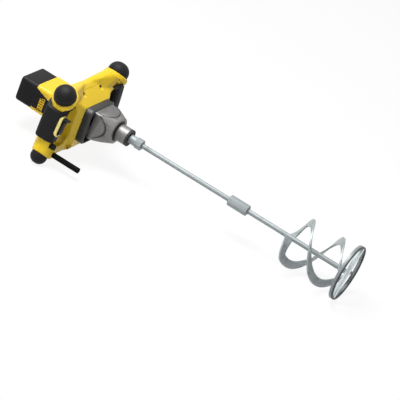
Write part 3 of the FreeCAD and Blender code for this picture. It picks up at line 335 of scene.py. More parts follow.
def moulded_yellow(finish):
    """Yellow moulding: a fine spark grain, slow changes of tone and a few dull scuffs."""
    colour = finish.colours.yellow
    scuff = finish.between(finish.noise(70, 6, roughness=0.7), 0.62, 0.72)
    base = finish.toned(finish.noise(14, 2), colour, 0.94, 1.06)
    base = finish.mixed(scuff * 0.18, base, shaded(colour, 0.62))
    rough = 0.33 + 0.10 * finish.noise(300, 2) + 0.16 * scuff
    return finish.surface(base, rough, finish.bump(finish.noise(1500, 2), 0.00012, 0.5),
                          Specular_IOR_Level=0.3, Coat_Weight=0.08, Coat_Roughness=0.25)


def pale_moulding(finish):
    """The bezel's smoother and paler moulding, a little worn."""
    worn = finish.noise(55, 4)
    base = finish.toned(worn, finish.colours.bezel, 0.92, 1.05)
    rough = 0.32 + 0.14 * finish.noise(260, 2)
    return finish.surface(base, rough, finish.bump(worn, 0.0001, 0.4), Specular_IOR_Level=0.3)


def soft_rubber(finish):
    """Black rubber with a fine stipple and paler rubbed spots."""
    rubbed = finish.between(finish.noise(38, 5, roughness=0.65), 0.52, 0.75)
    base = finish.toned(rubbed, finish.colours.rubber, 1, 1.9)
    rough = 0.50 + 0.16 * finish.noise(260, 2) - 0.06 * rubbed
    return finish.surface(base, rough, finish.bump(finish.cells(620), 0.00025, 0.6), Specular_IOR_Level=0.18)


def dull_rubber(finish):
    """The cord guard's matt black rubber, with fine rings from its mould."""
    cloud = finish.noise(60, 4)
    base = finish.toned(cloud, finish.colours.rubber, 0.3, 0.6)
    rings = finish.lines("X", 2600)
    return finish.surface(base, 0.62 + 0.14 * cloud, finish.bump(rings, 0.0002, 0.5), Specular_IOR_Level=0.07)


def grained_plastic(finish):
    """Black plastic with a leathery mould grain."""
    grain = finish.cells(380) + 0.5 * finish.noise(900, 2)
    base = finish.toned(finish.noise(22, 3), finish.colours.plastic, 0.8, 1.5)
    rough = 0.40 + 0.14 * finish.noise(240, 2)
    return finish.surface(base, rough, finish.bump(grain, 0.0002, 0.55), Specular_IOR_Level=0.14)


def painted_plate(finish):
    """Satin dark paint over a casting, thin in places."""
    thin = finish.between(finish.noise(90, 6, roughness=0.7), 0.6, 0.72)
    base = finish.toned(thin, finish.colours.plate, 1, 2.4)
    rough = 0.36 + 0.18 * finish.noise(180, 3)
    return finish.surface(base, rough, finish.bump(finish.noise(420, 4), 0.0003, 0.5), metallic=0.25)


def cast_metal(finish):
    """Die-cast gearbox: sandy skin on the taper, turned rings on the neck, a black band at its front and
    painted shade that darkens the grooves."""
    colour = finish.colours.casting
    x, y, z = [finish.axis(name) for name in "XYZ"]
    neck = finish.between(x, -0.0354, -0.0350)
    band = finish.between(x, -0.0056, -0.0052)
    cloud = finish.noise(34, 4)
    # Painted shade: masks of the arch groove, the flank grooves and the neck's groove, where shade falls.
    along, across = (x - ARCH_X * MM) / (ARCH_LONG * MM), y / (ARCH_WIDE * MM)
    arch = finish.between(((along * along + across * across).root() - 1).size(), 0.055, 0.02)
    arch = arch * finish.between(z, 0.031, 0.0322) * finish.between(x, -0.084, -0.080)
    reach = (y * y + z * z).root()
    taper = TAPER_RADIUS * MM - (x - TAPER_X * MM) * TAPER_SLOPE
    flank = finish.between((reach - taper).size(), 0.0014, 0.0007)
    flank = flank * finish.between(y.size(), 0.0394, 0.0402) * finish.between(x, -0.078, -0.074)
    notch = neck * finish.between(x, -0.0317, -0.0320) * finish.between(reach, 0.0275, 0.0265)
    groove_shade = arch.peak(flank).peak(notch)
    skin = finish.toned(cloud, colour, 0.72, 1.22)
    turned = finish.toned(finish.noise(60, 2, finish.stretched((12, 1, 1))), colour, 0.8, 1.2)
    base = finish.mixed(neck, skin, turned)
    # Painted shade: the colour in the grooves goes almost to black.
    base = finish.mixed(groove_shade * 0.85, base, shaded(colour, 0.08))
    base = finish.mixed(band, base, finish.colours.rubber)
    rough = 0.42 + 0.02 * neck + 0.12 * cloud + 0.15 * band + 0.2 * groove_shade
    relief = finish.noise(520, 4) * (1 - neck) + finish.lines("X", 5200) * neck * 0.25
    return finish.surface(base, rough, finish.bump(relief, 0.00035, 0.6), metallic=0.9 * (1 - band))


def drawn_steel(finish):
    """Drawn rods with a dull zinc coat, fine lines along them and darker handling marks."""
    lines = finish.noise(420, 1, finish.stretched((0.02, 1, 1)))
    marks = finish.between(finish.noise(30, 5, roughness=0.6), 0.52, 0.72)
    base = finish.toned(marks, finish.colours.zinc, 1.05, 0.85)
    rough = 0.56 + 0.08 * lines + 0.08 * marks
    return finish.surface(base, rough, finish.bump(lines, 0.00005, 0.2), metallic=0.55)


def plated_steel(finish):
    """The ribbons' zinc plated steel, with drawn streaks and dull spangles."""
    streak = finish.noise(160, 3, finish.stretched((0.06, 1, 1)))
    spangle = finish.noise(45, 5, roughness=0.65)
    dull = finish.between(spangle, 0.5, 0.7)
    base = finish.toned(dull, finish.colours.zinc, 1.2, 0.88)
    rough = 0.35 + 0.16 * dull + 0.10 * streak
    relief = finish.bump(streak + 0.6 * spangle, 0.0003, 0.5)
    return finish.surface(base, rough, relief, metallic=0.3, Specular_IOR_Level=0.35)


def bright_steel(finish):
    """The cross bar's bright plating with a faint brushed grain."""
    grain = finish.noise(260, 3, finish.stretched((1, 0.08, 1)))
    tones = [shaded(finish.colours.zinc, share) for share in (2.1, 2.6)]
    return finish.one_pattern(grain, tones, 0.26, 0.16, 0.9, 0.0001, 0.3)


def tip_shaded_steel(finish):
    """The ring's plated steel, with painted shade that darkens it towards the tip, on the side turned from
    the lamps.
    """
    patch = finish.noise(55, 4, roughness=0.6)
    # Painted shade: over the last few millimetres towards the tip, the colour falls to about a sixth.
    edge = cad_high.x - 0.006
    tip_shade = finish.between(finish.axis("X") + 0.003 * (patch - 0.5), edge, edge + 0.005)
    base = finish.toned(tip_shade, finish.colours.zinc, 0.95, 0.16)
    return finish.surface(base, 0.40 + 0.14 * patch, finish.bump(patch, 0.0002, 0.4),
                          metallic=0.3 + 0.3 * tip_shade, Specular_IOR_Level=0.35)


def screw_steel(finish):
    """Dark phosphated screws."""
    tones = (0.035, 0.033, 0.03), (0.10, 0.095, 0.085)
    return finish.one_pattern(finish.noise(420, 3), tones, 0.4, 0.2, 0.8, 0.0001, 0.4)


def wound_copper(finish):
    """Enamelled windings."""
    tones = (0.30, 0.09, 0.03), (0.62, 0.25, 0.10)
    return finish.one_pattern(finish.lines("Y", 3600), tones, 0.32, 0.15, 0.8, 0.0003, 0.7)


def stacked_sheets(finish):
    """Varnished sheet stacks of the motor."""
    tones = (0.05, 0.05, 0.055), (0.16, 0.15, 0.15)
    return finish.one_pattern(finish.lines("X", 6200), tones, 0.45, 0.15, 0.7, 0.0002, 0.7)


def sintered_bronze(finish):
    """Porous bearing bronze."""
    tones = (0.22, 0.13, 0.05), (0.50, 0.33, 0.14)
    return finish.one_pattern(finish.cells(1200), tones, 0.4, 0.2, 0.9, 0.0001, 0.5)


FINISHES = {maker.__name__: maker for maker in (
    moulded_yellow, pale_moulding, soft_rubber, dull_rubber, grained_plastic, painted_plate, cast_metal,
    drawn_steel, plated_steel, bright_steel, tip_shaded_steel, screw_steel, wound_copper, stacked_sheets,
    sintered_bronze)}
SLOT_FINISHES = {
    "shell_yellow": "moulded_yellow",
    "black_rubber": "soft_rubber",
    "black_plastic": "grained_plastic",
    "plate_paint": "painted_plate",
    "case_aluminium": "cast_metal",
    "zinc_steel": "plated_steel",
    "laminations": "stacked_sheets",
    "copper": "wound_copper",
    "bush_bronze": "sintered_bronze",
}


def finish_for(name):
    """The finish with this name, made once."""
    return bpy.data.materials.get(name) or FINISHES[name](Finish(name))


def linked(name, data):
    """A new object of the scene."""
    piece = bpy.data.objects.new(name, data)
    bpy.context.scene.collection.objects.link(piece)
    return piece


def from_bmesh(name, form):
    """A new object from a form under construction, which is used up."""
    mesh = bpy.data.meshes.new(name)
    form.to_mesh(mesh)
    form.free()
    return linked(name, mesh)


def settled(piece):
    """The piece with its modifiers made part of its mesh."""
    graph = bpy.context.evaluated_depsgraph_get()
    mesh = bpy.data.meshes.new_from_object(piece.evaluated_get(graph))
    piece.modifiers.clear()
    old = piece.data
    piece.data = mesh
    bpy.data.meshes.remove(old)
    mesh.name = piece.name
    return piece


def dropped(*pieces):
    """Removes helpers that aren't part of the object."""
    for piece in pieces:
        mesh = piece.data
        bpy.data.objects.remove(piece)
        bpy.data.meshes.remove(mesh)


def carved(piece, tools, operation="DIFFERENCE"):
    """A piece with the tools taken away from it, or cut to them; the tools are used up."""
    for tool in tools:
        step = piece.modifiers.new("carve", "BOOLEAN")
        step.operation = operation
        step.solver = "MANIFOLD"
        step.object = tool
    settled(piece)
    dropped(*tools)
    return piece


def shaded_smooth(piece, degrees=SMOOTH_EDGE):
    """Smooth shading that keeps edges above an angle sharp."""
    piece.data.shade_smooth()
    piece.data.set_sharp_from_angle(angle=math.radians(degrees))
    return piece


def dressed(piece, finish, slot, body, *nodes):
    """Gives a piece its finish and the body that it rides on, and hides the nodes that it stands for; the
    slot is not used.
    """
    piece.data.materials.clear()
    piece.data.materials.append(finish_for(finish))
    for face in piece.data.polygons:
        face.material_index = 0
    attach(piece, body)
    if nodes:
        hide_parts(*nodes)
    return piece


def rounded(piece, bevel):
    """A piece with small rounds on its sharp edges."""
    step = piece.modifiers.new("rounds", "BEVEL")
    step.width = bevel
    step.segments = 3
    step.limit_method = "ANGLE"
    step.angle_limit = math.radians(SHARP_EDGE)
    step.use_clamp_overlap = True
    return shaded_smooth(settled(piece))


def softened_copy(node, bevel):
    """A copy of a solid with merged corners and small rounds on its sharp edges."""
    form = merged(frame["nodes"][node].data)
    bmesh.ops.dissolve_limit(form, angle_limit=math.radians(0.4), verts=form.verts, edges=form.edges)
    return rounded(from_bmesh(f"{node}_skin", form), bevel)


def dressed_copy(node, bevel, finish, slot, body="housing"):
    """A softened copy of a solid, which stands for it."""
    return dressed(softened_copy(node, bevel), finish, slot, body, node)


def outward(form):
    """A closed form with its faces turned outwards."""
    bmesh.ops.recalc_face_normals(form, faces=form.faces)
    return form


def merged(mesh):
    """A form under construction that starts as a mesh with its doubles merged."""
    form = bmesh.new()
    form.from_mesh(mesh)
    bmesh.ops.remove_doubles(form, verts=form.verts, dist=MERGE)
    return form


def block_form(low, high, flats=()):
    """A closed block in millimetres, cut by flats that each have a point and an outward direction."""
    form = bmesh.new()
    bmesh.ops.create_cube(form, size=1)
    low, high = Vector(low) * MM, Vector(high) * MM
    for vert in form.verts:
        vert.co = Vector(low[i] + (high[i] - low[i]) * (vert.co[i] + 0.5) for i in range(3))
    for point, facing in flats:
        cut = bmesh.ops.bisect_plane(form, geom=form.verts[:] + form.edges[:] + form.faces[:],
                                     plane_co=Vector(point) * MM, plane_no=Vector(facing), clear_outer=True)
        rim = [part for part in cut["geom_cut"] if isinstance(part, bmesh.types.BMEdge)]
        if rim:
            bmesh.ops.contextual_create(form, geom=rim)
    return outward(form)


def sided_block(side, low, high, flats=()):
    """A block whose corners are given for the right side; the flats are given for its own side."""
    near, far = sorted((side * low[1], side * high[1]))
    return block_form((low[0], near, low[2]), (high[0], far, high[2]), flats)


def slab(low, high):
    """A tool across the whole part, between two stations in millimetres."""
    return from_bmesh("slab", block_form((low, -SPAN, -SPAN), (high, SPAN, SPAN)))


def rod_form(origin, way, start, end, radius, end_radius=None, segments=64):
    """A closed cylinder or taper in millimetres, between two distances along a way from its origin."""
    low, high = (origin + way * start) * MM, (origin + way * end) * MM
    form = bmesh.new()
    bmesh.ops.create_cone(form, cap_ends=True, segments=segments, radius1=radius * MM,
                          radius2=(end_radius or radius) * MM, depth=(high - low).length)
    turn = Z_AXIS.rotation_difference(high - low).to_matrix().to_4x4()
    bmesh.ops.transform(form, matrix=Matrix.Translation((low + high) / 2) @ turn, verts=form.verts)
    return form


def lofted(rings):
    """A closed form through rings of points in millimetres, which have the same count."""
    form = bmesh.new()
    rows = [[form.verts.new(Vector(point) * MM) for point in ring] for ring in rings]
    for lower, upper in zip(rows, rows[1:]):
        for index in range(len(lower)):
            after = (index + 1) % len(lower)
            form.faces.new((lower[index], lower[after], upper[after], upper[index]))
    form.faces.new(rows[0])
    form.faces.new(rows[-1])
    return outward(form)


def gathered(name, forms):
    """One object from several closed forms."""
    whole = bmesh.new()
    for form in forms:
        part = bpy.data.meshes.new("part")
        form.to_mesh(part)
        form.free()
        whole.from_mesh(part)
        bpy.data.meshes.remove(part)
    return from_bmesh(name, whole)


def handle_frame(name):
    """The matrix of a handle's own frame in metres: its third axis runs up the handle."""
    top, foot = [CORNERS[f"{name}_{level}"].base * MM for level in ("upper", "lower")]
    up = (top - foot).normalized()
    turn = Matrix((X_AXIS, up.cross(X_AXIS), up)).transposed().to_4x4()
    return Matrix.Translation((top + foot) / 2) @ turn


def in_handle(form, name):
    """Moves a form from a handle's own frame to its place."""
    bmesh.ops.transform(form, matrix=handle_frame(name), verts=form.verts)
    return form


def body_flats():
    """The flats that the body shares: above, below and the short flare back to the motor's barrel."""
    flats = [
        ((PLATE_X, 0, PLATE_TOP), (RIDGE_TOP - PLATE_TOP, 0, PLATE_X - RIDGE_X)),
        ((FLARE_X, 0, BARREL_TOP), (BARREL_TOP - RIDGE_TOP - RIDGE_FULL, 0, RIDGE_X - FLARE_X)),
        ((PLATE_X, 0, PLATE_FOOT), (PLATE_FOOT - CHIN_FOOT, 0, CHIN_X - PLATE_X)),
        ((CHIN_X, 0, CHIN_FOOT), (CHIN_FOOT - RIDGE_FOOT, 0, RIDGE_X - CHIN_X)),
        ((FLARE_X, 0, BARREL_FOOT), (RIDGE_FOOT - BARREL_FOOT, 0, FLARE_X - RIDGE_X)),
    ]
    for side in SIDES.values():
        flats.append(((FLARE_X, side * BARREL_WIDE, 0),
                      (BARREL_WIDE - ARM_REACH, side * (FRAME_X - ARM_DEEP - FLARE_X), 0)))
    return flats


def shoulder_swell(boss):
    """The swell of an upper arm towards its bumper: the hull of the arm's section and of the boss's rim."""
    radius, depth, steps, front, back = boss.radius + 1.4, 11, 48, 0.74, 0.95
    across = boss.way.cross(X_AXIS)
    form = bmesh.new()
    for level in (0, -depth):
        for step in range(steps):
            angle = 2 * math.pi * step / steps
            reach = math.cos(angle) * (front if math.cos(angle) > 0 else back)
            spot = boss.base + boss.way * level + (X_AXIS * reach + across * math.sin(angle)) * radius
            form.verts.new(spot * MM)
    for x, y, z in ((-172, 10, 52), (-165, 10, 71), (-154, 10, 71), (-132, 40, 48), (-126, 90, 46),
                    (-186, 88, 45), (-170, 88, 64)):
        form.verts.new(Vector((x, math.copysign(y, boss.base.y), z)) * MM)
    hull = bmesh.ops.convex_hull(form, input=form.verts)
    spare = {part for part in hull["geom_interior"] + hull["geom_unused"]
             if isinstance(part, bmesh.types.BMVert)}
    bmesh.ops.delete(form, geom=list(spare), context="VERTS")
    return outward(form)


def gap_corner(side, level, up, front, flats):
    """The chamfered fill in an inner corner of a hand gap."""
    fill, depth = 20, 8
    chamfer = [((0, side * WAIST, level - up * GAP_CHAMFER), (0, side, -up))]
    foot, top = sorted((level - up * fill, level + up * depth))
    return sided_block(side, (FLARE_X, WAIST - fill, foot), (front, WAIST + fill, top), flats + chamfer)


def shell_forms(rim):
    """The closed forms that melt together into the shell."""
    sides = SIDES.values()
    flats = body_flats()
    front = FRAME_X + ARM_DEEP
    slope = RIDGE_DIP - RIDGE_TOP
    chamfers = [((0, side * BARREL_WIDE, height - up * BARREL_CHAMFER), (0, side, up))
                for side in sides for height, up in ((BARREL_TOP, 1), (BARREL_FOOT, -1))]
    waist = [((PLATE_X, side * PLATE_WIDE, 0), (WAIST - PLATE_WIDE, side * (PLATE_X - front), 0))
             for side in sides]
    slants = [((0, side * SLANT_Y, SLANT_Z), (0, side * SLANT_DROP, -SLANT_RUN)) for side in sides]
    joined = FLARE_X + 30
    forms = [
        block_form((COVER_X - OVER, -BARREL_WIDE, BARREL_FOOT), (joined, BARREL_WIDE, BARREL_TOP), chamfers),
        block_form((FLARE_X, -WAIST, RIDGE_FOOT), (PLATE_X + OVER, WAIST, RIDGE_DIP), flats + waist),
        block_form((FLARE_X, -ARM_REACH, RIDGE_FOOT), (front, ARM_REACH, GAP_FOOT), flats + slants),
    ]
    for side in sides:
        above = [((0, side * SHOULDER, RIDGE_TOP), (0, side * SHOULDER_DROP, SHOULDER_RUN)),
                 ((0, side * DIP_WIDE, RIDGE_DIP), (0, side * slope, SHOULDER - DIP_WIDE))]
        forms.append(sided_block(side, (FLARE_X, 0, GAP_TOP), (front, ARM_REACH, RIDGE_TOP), flats + above))
    for name, side in SIDES.items():
        for level, up in ((GAP_TOP, 1), (GAP_FOOT, -1)):
            forms.append(gap_corner(side, level, up, front, flats))
        forms.append(in_handle(block_form((-BAR_X, -BAR_Y, -BAR_LONG), (BAR_X, BAR_Y, BAR_LONG)), name))
        forms.append(shoulder_swell(CORNERS[f"{name}_upper"]))
    for boss in CORNERS.values():
        forms.append(rod_form(boss.base, boss.way, start=-boss.length, end=rim, radius=boss.radius + RIM_FOOT,
                              end_radius=boss.radius + RIM_LIP))
    forms.append(rod_form(GUARD, X_AXIS, start=0, end=26, radius=GUARD_BOSS))
    return forms


def screw_seats():
    """Station, place across and height of each shell screw's head, from its solid."""
    seats = []
    for screw in SHELL_SCREWS:
        low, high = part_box(screw)
        seats.append(Vector((high.x, (low.y + high.y) / 2, (low.z + high.z) / 2)))
    return seats


def pad_form(back, margin):
    """A pad with round ends over the trigger, in millimetres: where it starts, and its margin all round."""
    half, steps = TRIGGER_HALF + margin, 16
    outline = []
    for end, turn in ((TRIGGER_TOP + margin - half, 0), (TRIGGER_FOOT - margin + half, math.pi)):
        for step in range(steps + 1):
            angle = turn + math.pi * step / steps
            outline.append((half * math.cos(angle) - TRIGGER_OUT, end + half * math.sin(angle)))
    rings = [[(station, y, z) for y, z in outline] for station in (back, TRIGGER_REACH)]
    return in_handle(lofted(rings), TRIGGER_SIDE)


def lock_place():
    """Where the lock button's axis meets the middle of the frame, in millimetres."""
    low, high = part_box("lock_button")
    middle = (low + high) / 2 / MM
    return Vector((FRAME_X, middle.y, middle.z))


def lock_hole():
    """The hole that the lock button slides in."""
    return rod_form(lock_place(), X_AXIS, start=0, end=60, radius=LOCK_BORE)


def shell_tools(sizes):
    """What is taken out of the shell: bumper seats, screw wells, trigger slot, lock and guard holes."""
    well = sizes.well / MM
    forms = [rod_form(boss.base, boss.way, start=-4, end=40, radius=boss.radius + SEAT_CLEARANCE, segments=96)
             for boss in CORNERS.values()]
    forms += [rod_form(seat / MM, X_AXIS, start=-3.2, end=50, radius=well, end_radius=well + WELL_FLARE,
                       segments=32) for seat in screw_seats()]
    forms += [pad_form(back=-4, margin=0.5), lock_hole(),
              rod_form(GUARD, X_AXIS, start=-6, end=80, radius=GUARD_BORE)]
    return [from_bmesh("tool", form) for form in forms]


def group_tree(name, kinds):
    """A new geometry tree that gives geometry and has named inputs of these kinds."""
    tree = bpy.data.node_groups.new(name, "GeometryNodeTree")
    tree.interface.new_socket("Geometry", in_out="OUTPUT", socket_type="NodeSocketGeometry")
    for key, kind in kinds.items():
        tree.interface.new_socket(key, in_out="INPUT", socket_type=f"NodeSocket{kind}")
    return tree


def spread_out(net, points, shape, **settings):
    """Ends a tree: the shape on every point, made real and painted."""
    copies = net.node("GeometryNodeInstanceOnPoints", {}, {"Points": points, "Instance": shape, **settings})
    real = net.node("GeometryNodeRealizeInstances", {}, {"Geometry": copies})
    painted = net.node("GeometryNodeSetMaterial", {}, {"Geometry": real, "Material": net.given("Finish")})
    net.node("NodeGroupOutput", {}, {"Geometry": painted})


def grown(name, mesh, tree, finish, sizes):
    """What a geometry tree makes of a mesh, as an object with a plain mesh."""
    piece = linked(name, mesh)
    step = piece.modifiers.new("grown", "NODES")
    step.node_group = tree
    keys = {item.name: item.identifier for item in tree.interface.items_tree if item.in_out == "INPUT"}
    for key, value in sizes.items():
        step[keys[key]] = value
    step[keys["Finish"]] = finish_for(finish)
    return settled(piece)


def bar_row_tree():
    """Nodes that make a row of bars with rounded edges, along X and stacked in Z."""
    sizes = {key: "Float" for key in ("Pitch", "Length", "Width", "Depth", "Round")}
    tree = group_tree("bar_row", {"Count": "Int", **sizes, "Finish": "Material"})
    net = Net(tree)
    outline = net.node("GeometryNodeCurvePrimitiveQuadrilateral", {},
                       {"Width": net.given("Depth"), "Height": net.given("Width")})
    section = net.node("GeometryNodeFilletCurve", {"mode": "POLY"},
                       {"Curve": outline, "Count": 4, "Radius": net.given("Round")})
    start, end = [net.place(X=net.given("Length") * share) for share in (-0.5, 0.5)]
    line = net.node("GeometryNodeCurvePrimitiveLine", {}, {"Start": start, "End": end})
    bar = net.node("GeometryNodeCurveToMesh", {},
                   {"Curve": line, "Profile Curve": section, "Fill Caps": True})
    row = net.node("GeometryNodeMeshLine", {},
                   {"Count": net.given("Count"), "Offset": net.place(Z=net.given("Pitch"))})
    spread_out(net, row, bar)
    return tree


def bar_row(name, finish, matrix, **sizes):
    """A row of bars as a plain mesh, set by a matrix; the row is centred on the matrix's origin."""
    tree = bpy.data.node_groups.get("bar_row") or bar_row_tree()
    piece = grown(name, bpy.data.meshes.new(name), tree, finish, sizes)
    centre = Matrix.Translation((0, 0, -sizes["Pitch"] * (sizes["Count"] - 1) / 2))
    piece.data.transform(matrix @ centre)
    form = outward(merged(piece.data))
    form.to_mesh(piece.data)
    form.free()
    return piece


def pan_screw_tree():
    """Nodes that set a pan head with a cross recess on every point of a mesh, facing +X."""
    sizes = {key: "Float" for key in ("Head", "Height", "Recess")}
    tree = group_tree("pan_screws", {"Places": "Geometry", **sizes, "Finish": "Material"})
    net = Net(tree)
    head, height, recess = [net.given(key) for key in sizes]
    pan = net.node("GeometryNodeMeshCone", {}, {"Vertices": 28, "Radius Top": head * 0.8,
                                                "Radius Bottom": head, "Depth": height})
    bars = []
    for long, wide in ((head * 1.15, recess), (recess, head * 1.15)):
        bar = net.node("GeometryNodeMeshCube", {}, {"Size": net.place(X=long, Y=wide, Z=height)})
        bars.append(net.node("GeometryNodeTransform", {},
                             {"Geometry": bar, "Translation": net.place(Z=height)}))
    cut = net.node("GeometryNodeMeshBoolean", {"operation": "DIFFERENCE"}, {"Mesh 1": pan, "Mesh 2": bars})
    spread_out(net, net.given("Places"), cut, Rotation=(0, math.pi / 2, 0))
    return tree


def pan_screws(name, places, sizes, finish):
    """Pan heads on a list of places, as one plain mesh."""
    mesh = bpy.data.meshes.new(name)
    mesh.from_pydata([tuple(place) for place in places], [], [])
    heads = grown(name, mesh, pan_screw_tree(), finish,
                  {"Head": sizes.head, "Height": sizes.height, "Recess": sizes.slot})
    return shaded_smooth(heads, 35)


def vent_tools(ribs):
    """The slots of the two vents behind the grips, one row for each flank of the shell."""
    rows = []
    for side in SIDES.values():
        place = Matrix.Translation(Vector((VENT_X, side * BARREL_WIDE, VENT_Z)) * MM)
        rows.append(bar_row("vent", "moulded_yellow", place, Count=ribs.vent_count, Pitch=ribs.vent_pitch,
                            Length=0.0115, Width=ribs.vent_pitch - ribs.vent_bar, Depth=0.012, Round=0.001))
    return rows


def flank_panel(name, side):
    """A black panel on the barrel's flank, with a window for the vent."""
    sunk, proud, past = BARREL_WIDE - 2, BARREL_WIDE + 0.7, 5
    front, foot, top = -205, -40, 14
    slopes = [((-245, 0, 9), (14, 0, 37)), ((-209, 0, 0), (1, 0, -0.12))]
    panel = sided_block(side, (COVER_X, sunk, foot), (front, proud, top), slopes)
    back, front, foot, top = -234, -219.5, -38, -5
    slope = [((back, 0, -9), (-4, 0, 14))]
    window = sided_block(side, (back, sunk - past, foot), (front, proud + past, top), slope)
    return carved(from_bmesh(f"{name}_flank_panel", panel), [from_bmesh("window", window)])


class MIXER_OT_shell(bpy.types.Operator):
    """Makes the two yellow half shells with their rims, wells, slots and vents, and the black flank panels"""

    bl_idname = "mixer.shell"
    bl_label = "Half shells"

    def execute(self, context):
        sizes = context.scene.mixer_shell
        whole = gathered("whole_shell", shell_forms(sizes.rim / MM))
        grain = whole.modifiers.new("form", "REMESH")
        grain.mode = "VOXEL"
        grain.voxel_size = sizes.voxel
        soft = whole.modifiers.new("soft", "SMOOTH")
        soft.factor = 0.5
        soft.iterations = sizes.passes
        settled(whole)
        whole.data.copy().name = "whole_form"
        tools = shell_tools(sizes) + vent_tools(context.scene.mixer_ribs)
        carved(whole, [slab(PLATE_X, PLATE_X + SPAN)] + tools)
        half_seam = sizes.seam / MM / 2
        cuts = {"front_shell": [(FRAME_X - SPAN, FRAME_X + half_seam)],
                "rear_shell": [(FRAME_X - half_seam, FRAME_X + SPAN), (COVER_X - SPAN, COVER_X)]}
        for node, ends in cuts.items():
            half = carved(linked(f"{node}_skin", whole.data.copy()), [slab(*end) for end in ends])
            dressed(shaded_smooth(half, 42), "moulded_yellow", "shell_yellow", "housing", node)
        dropped(whole)
        for name, side in SIDES.items():
            panel = rounded(flank_panel(name, side), 0.0006)
            dressed(panel, "grained_plastic", "black_plastic", "housing")
        return {"FINISHED"}


def grip_form(name):
    """A grip's closed form: rounded sections that swell a little towards the middle of the hand."""
    stations, turns, squareness = 30, 64, 0.58
    foot, top, half, end_round = -36, 60, 20, 4
    back_foot, back_lean, front = -30, 2, 21 if name == TRIGGER_SIDE else 25
    rings = []
    for step in range(stations + 1):
        share = step / stations
        swell = 0.98 + 0.04 * math.sin(math.pi * share)
        back = back_foot - back_lean * share
        edge = min(share, 1 - share) * (top - foot)
        drawn = 1.0 if edge > end_round else 0.94 + 0.06 * math.sqrt(1 - (1 - edge / end_round) ** 2)
        half_x, half_y = (front - back) / 2 * swell * drawn, half * swell * drawn
        ring = []
        for turn in range(turns):
            angle = 2 * math.pi * turn / turns
            c, s = math.cos(angle), math.sin(angle)
            x = (front + back) / 2 + half_x * math.copysign(abs(c) ** squareness, c)
            y = half_y * math.copysign(abs(s) ** squareness, s)
            ring.append((x, y, foot + (top - foot) * share))
        rings.append(ring)
    return in_handle(lofted(rings), name)


def arm_shade_piece(side):
    """A thin black rubber piece that runs on from a grip under its upper arm and thins towards the body, put
    there as painted shade under the arm.
    """
    inner, outer, back, front, foot, top = 74, 124, -158, -119.5, 34, 52
    heel, corner = 37.5, 92
    under = [((0, side * outer, heel), (0, side * -6.5, -50)),
             ((front, side * corner, 0), (1, side * -0.75, 0))]
    return sided_block(side, (back, inner, foot), (front, outer, top), under)


class MIXER_OT_grips(bpy.types.Operator):
    """Makes the two soft grips with lines across their backs, trimmed to the bosses, and black pieces of
    painted shade under the upper arms
    """

    bl_idname = "mixer.grips"
    bl_label = "Grips"

    def execute(self, context):
        ribs = context.scene.mixer_ribs
        core = bpy.data.meshes["whole_form"]
        lines_x, lines_z = -32.2, 8
        for name, node in zip(SIDES, ("trigger_grip", "plain_grip")):
            boss = CORNERS[f"{name}_upper"]
            trim = rod_form(boss.base, boss.way, start=-13, end=60, radius=44, segments=96)
            tools = [linked("core", core.copy()), from_bmesh("trim", trim)]
            if name == TRIGGER_SIDE:
                tools.append(from_bmesh("window", pad_form(back=2, margin=4.3)))
            middle = handle_frame(name) @ Matrix.Translation(Vector((lines_x, 0, lines_z)) * MM)
            tools.append(bar_row("lines", "soft_rubber", middle @ Matrix.Rotation(math.pi / 2, 4, "Z"),
                                 Count=ribs.grip_count, Pitch=ribs.grip_pitch, Length=0.026, Width=0.0016,
                                 Depth=0.0026, Round=0.0005))
            grip = carved(from_bmesh(f"{node}_skin", grip_form(name)), tools)
            dressed(shaded_smooth(grip, 38), "soft_rubber", "black_rubber", "housing", node)
            # A black piece as painted shade under the upper arm.
            shade_piece = from_bmesh(f"{name}_arm_shade_piece", arm_shade_piece(SIDES[name]))
            carved(shade_piece, [linked("core", core.copy())])
            dressed(shaded_smooth(shade_piece, 38), "soft_rubber", "black_rubber", "housing")
        bpy.data.meshes.remove(core)
        return {"FINISHED"}


class MIXER_OT_bumpers(bpy.types.Operator):
    """Makes the four domed corner bumpers"""

    bl_idname = "mixer.bumpers"
    bl_label = "Bumpers"

    def execute(self, context):
        for corner in CORNERS:
            dressed_copy(f"{corner}_bumper", 0.0006, "soft_rubber", "black_rubber")
        return {"FINISHED"}


def trigger_form():
    """The trigger: a finger rest that is hollowed in the middle and ends in a lip above."""
    root, wide = 7, 12
    side_view = ((root, TRIGGER_FOOT), (22, TRIGGER_FOOT), (27, -10), (28.6, -4), (28.4, 6), (28.8, 16),
                 (31, 24), (36, 29), (39.5, 30.5), (39.5, 33), (35, TRIGGER_TOP), (root, TRIGGER_TOP))
    rings = [[(x, y - TRIGGER_OUT, z) for x, z in side_view] for y in (-wide, wide)]
    blank = from_bmesh("trigger_skin", in_handle(lofted(rings), TRIGGER_SIDE))
    return carved(blank, [from_bmesh("pad", pad_form(back=0, margin=0))], "INTERSECT")


class MIXER_OT_controls(bpy.types.Operator):
    """Makes the trigger, its bezel, the lock button with its collar and the cord guard"""

    bl_idname = "mixer.controls"
    bl_label = "Controls"

    def execute(self, context):
        dressed_copy("trigger_bezel", 0.0009, "pale_moulding", "shell_yellow")
        dressed(rounded(trigger_form(), 0.0014), "grained_plastic", "black_plastic", "trigger", "trigger")
        dressed_copy("lock_button", 0.0008, "grained_plastic", "black_plastic", "lock_button")
        ring = rod_form(lock_place(), X_AXIS, start=4, end=19, radius=11, end_radius=10)
        collar = carved(from_bmesh("lock_collar", ring), [from_bmesh("hole", lock_hole())])
        dressed(rounded(collar, 0.0012), "soft_rubber", "black_rubber", "housing")
        dressed_copy("cord_guard", 0.0005, "dull_rubber", "black_rubber")
        return {"FINISHED"}


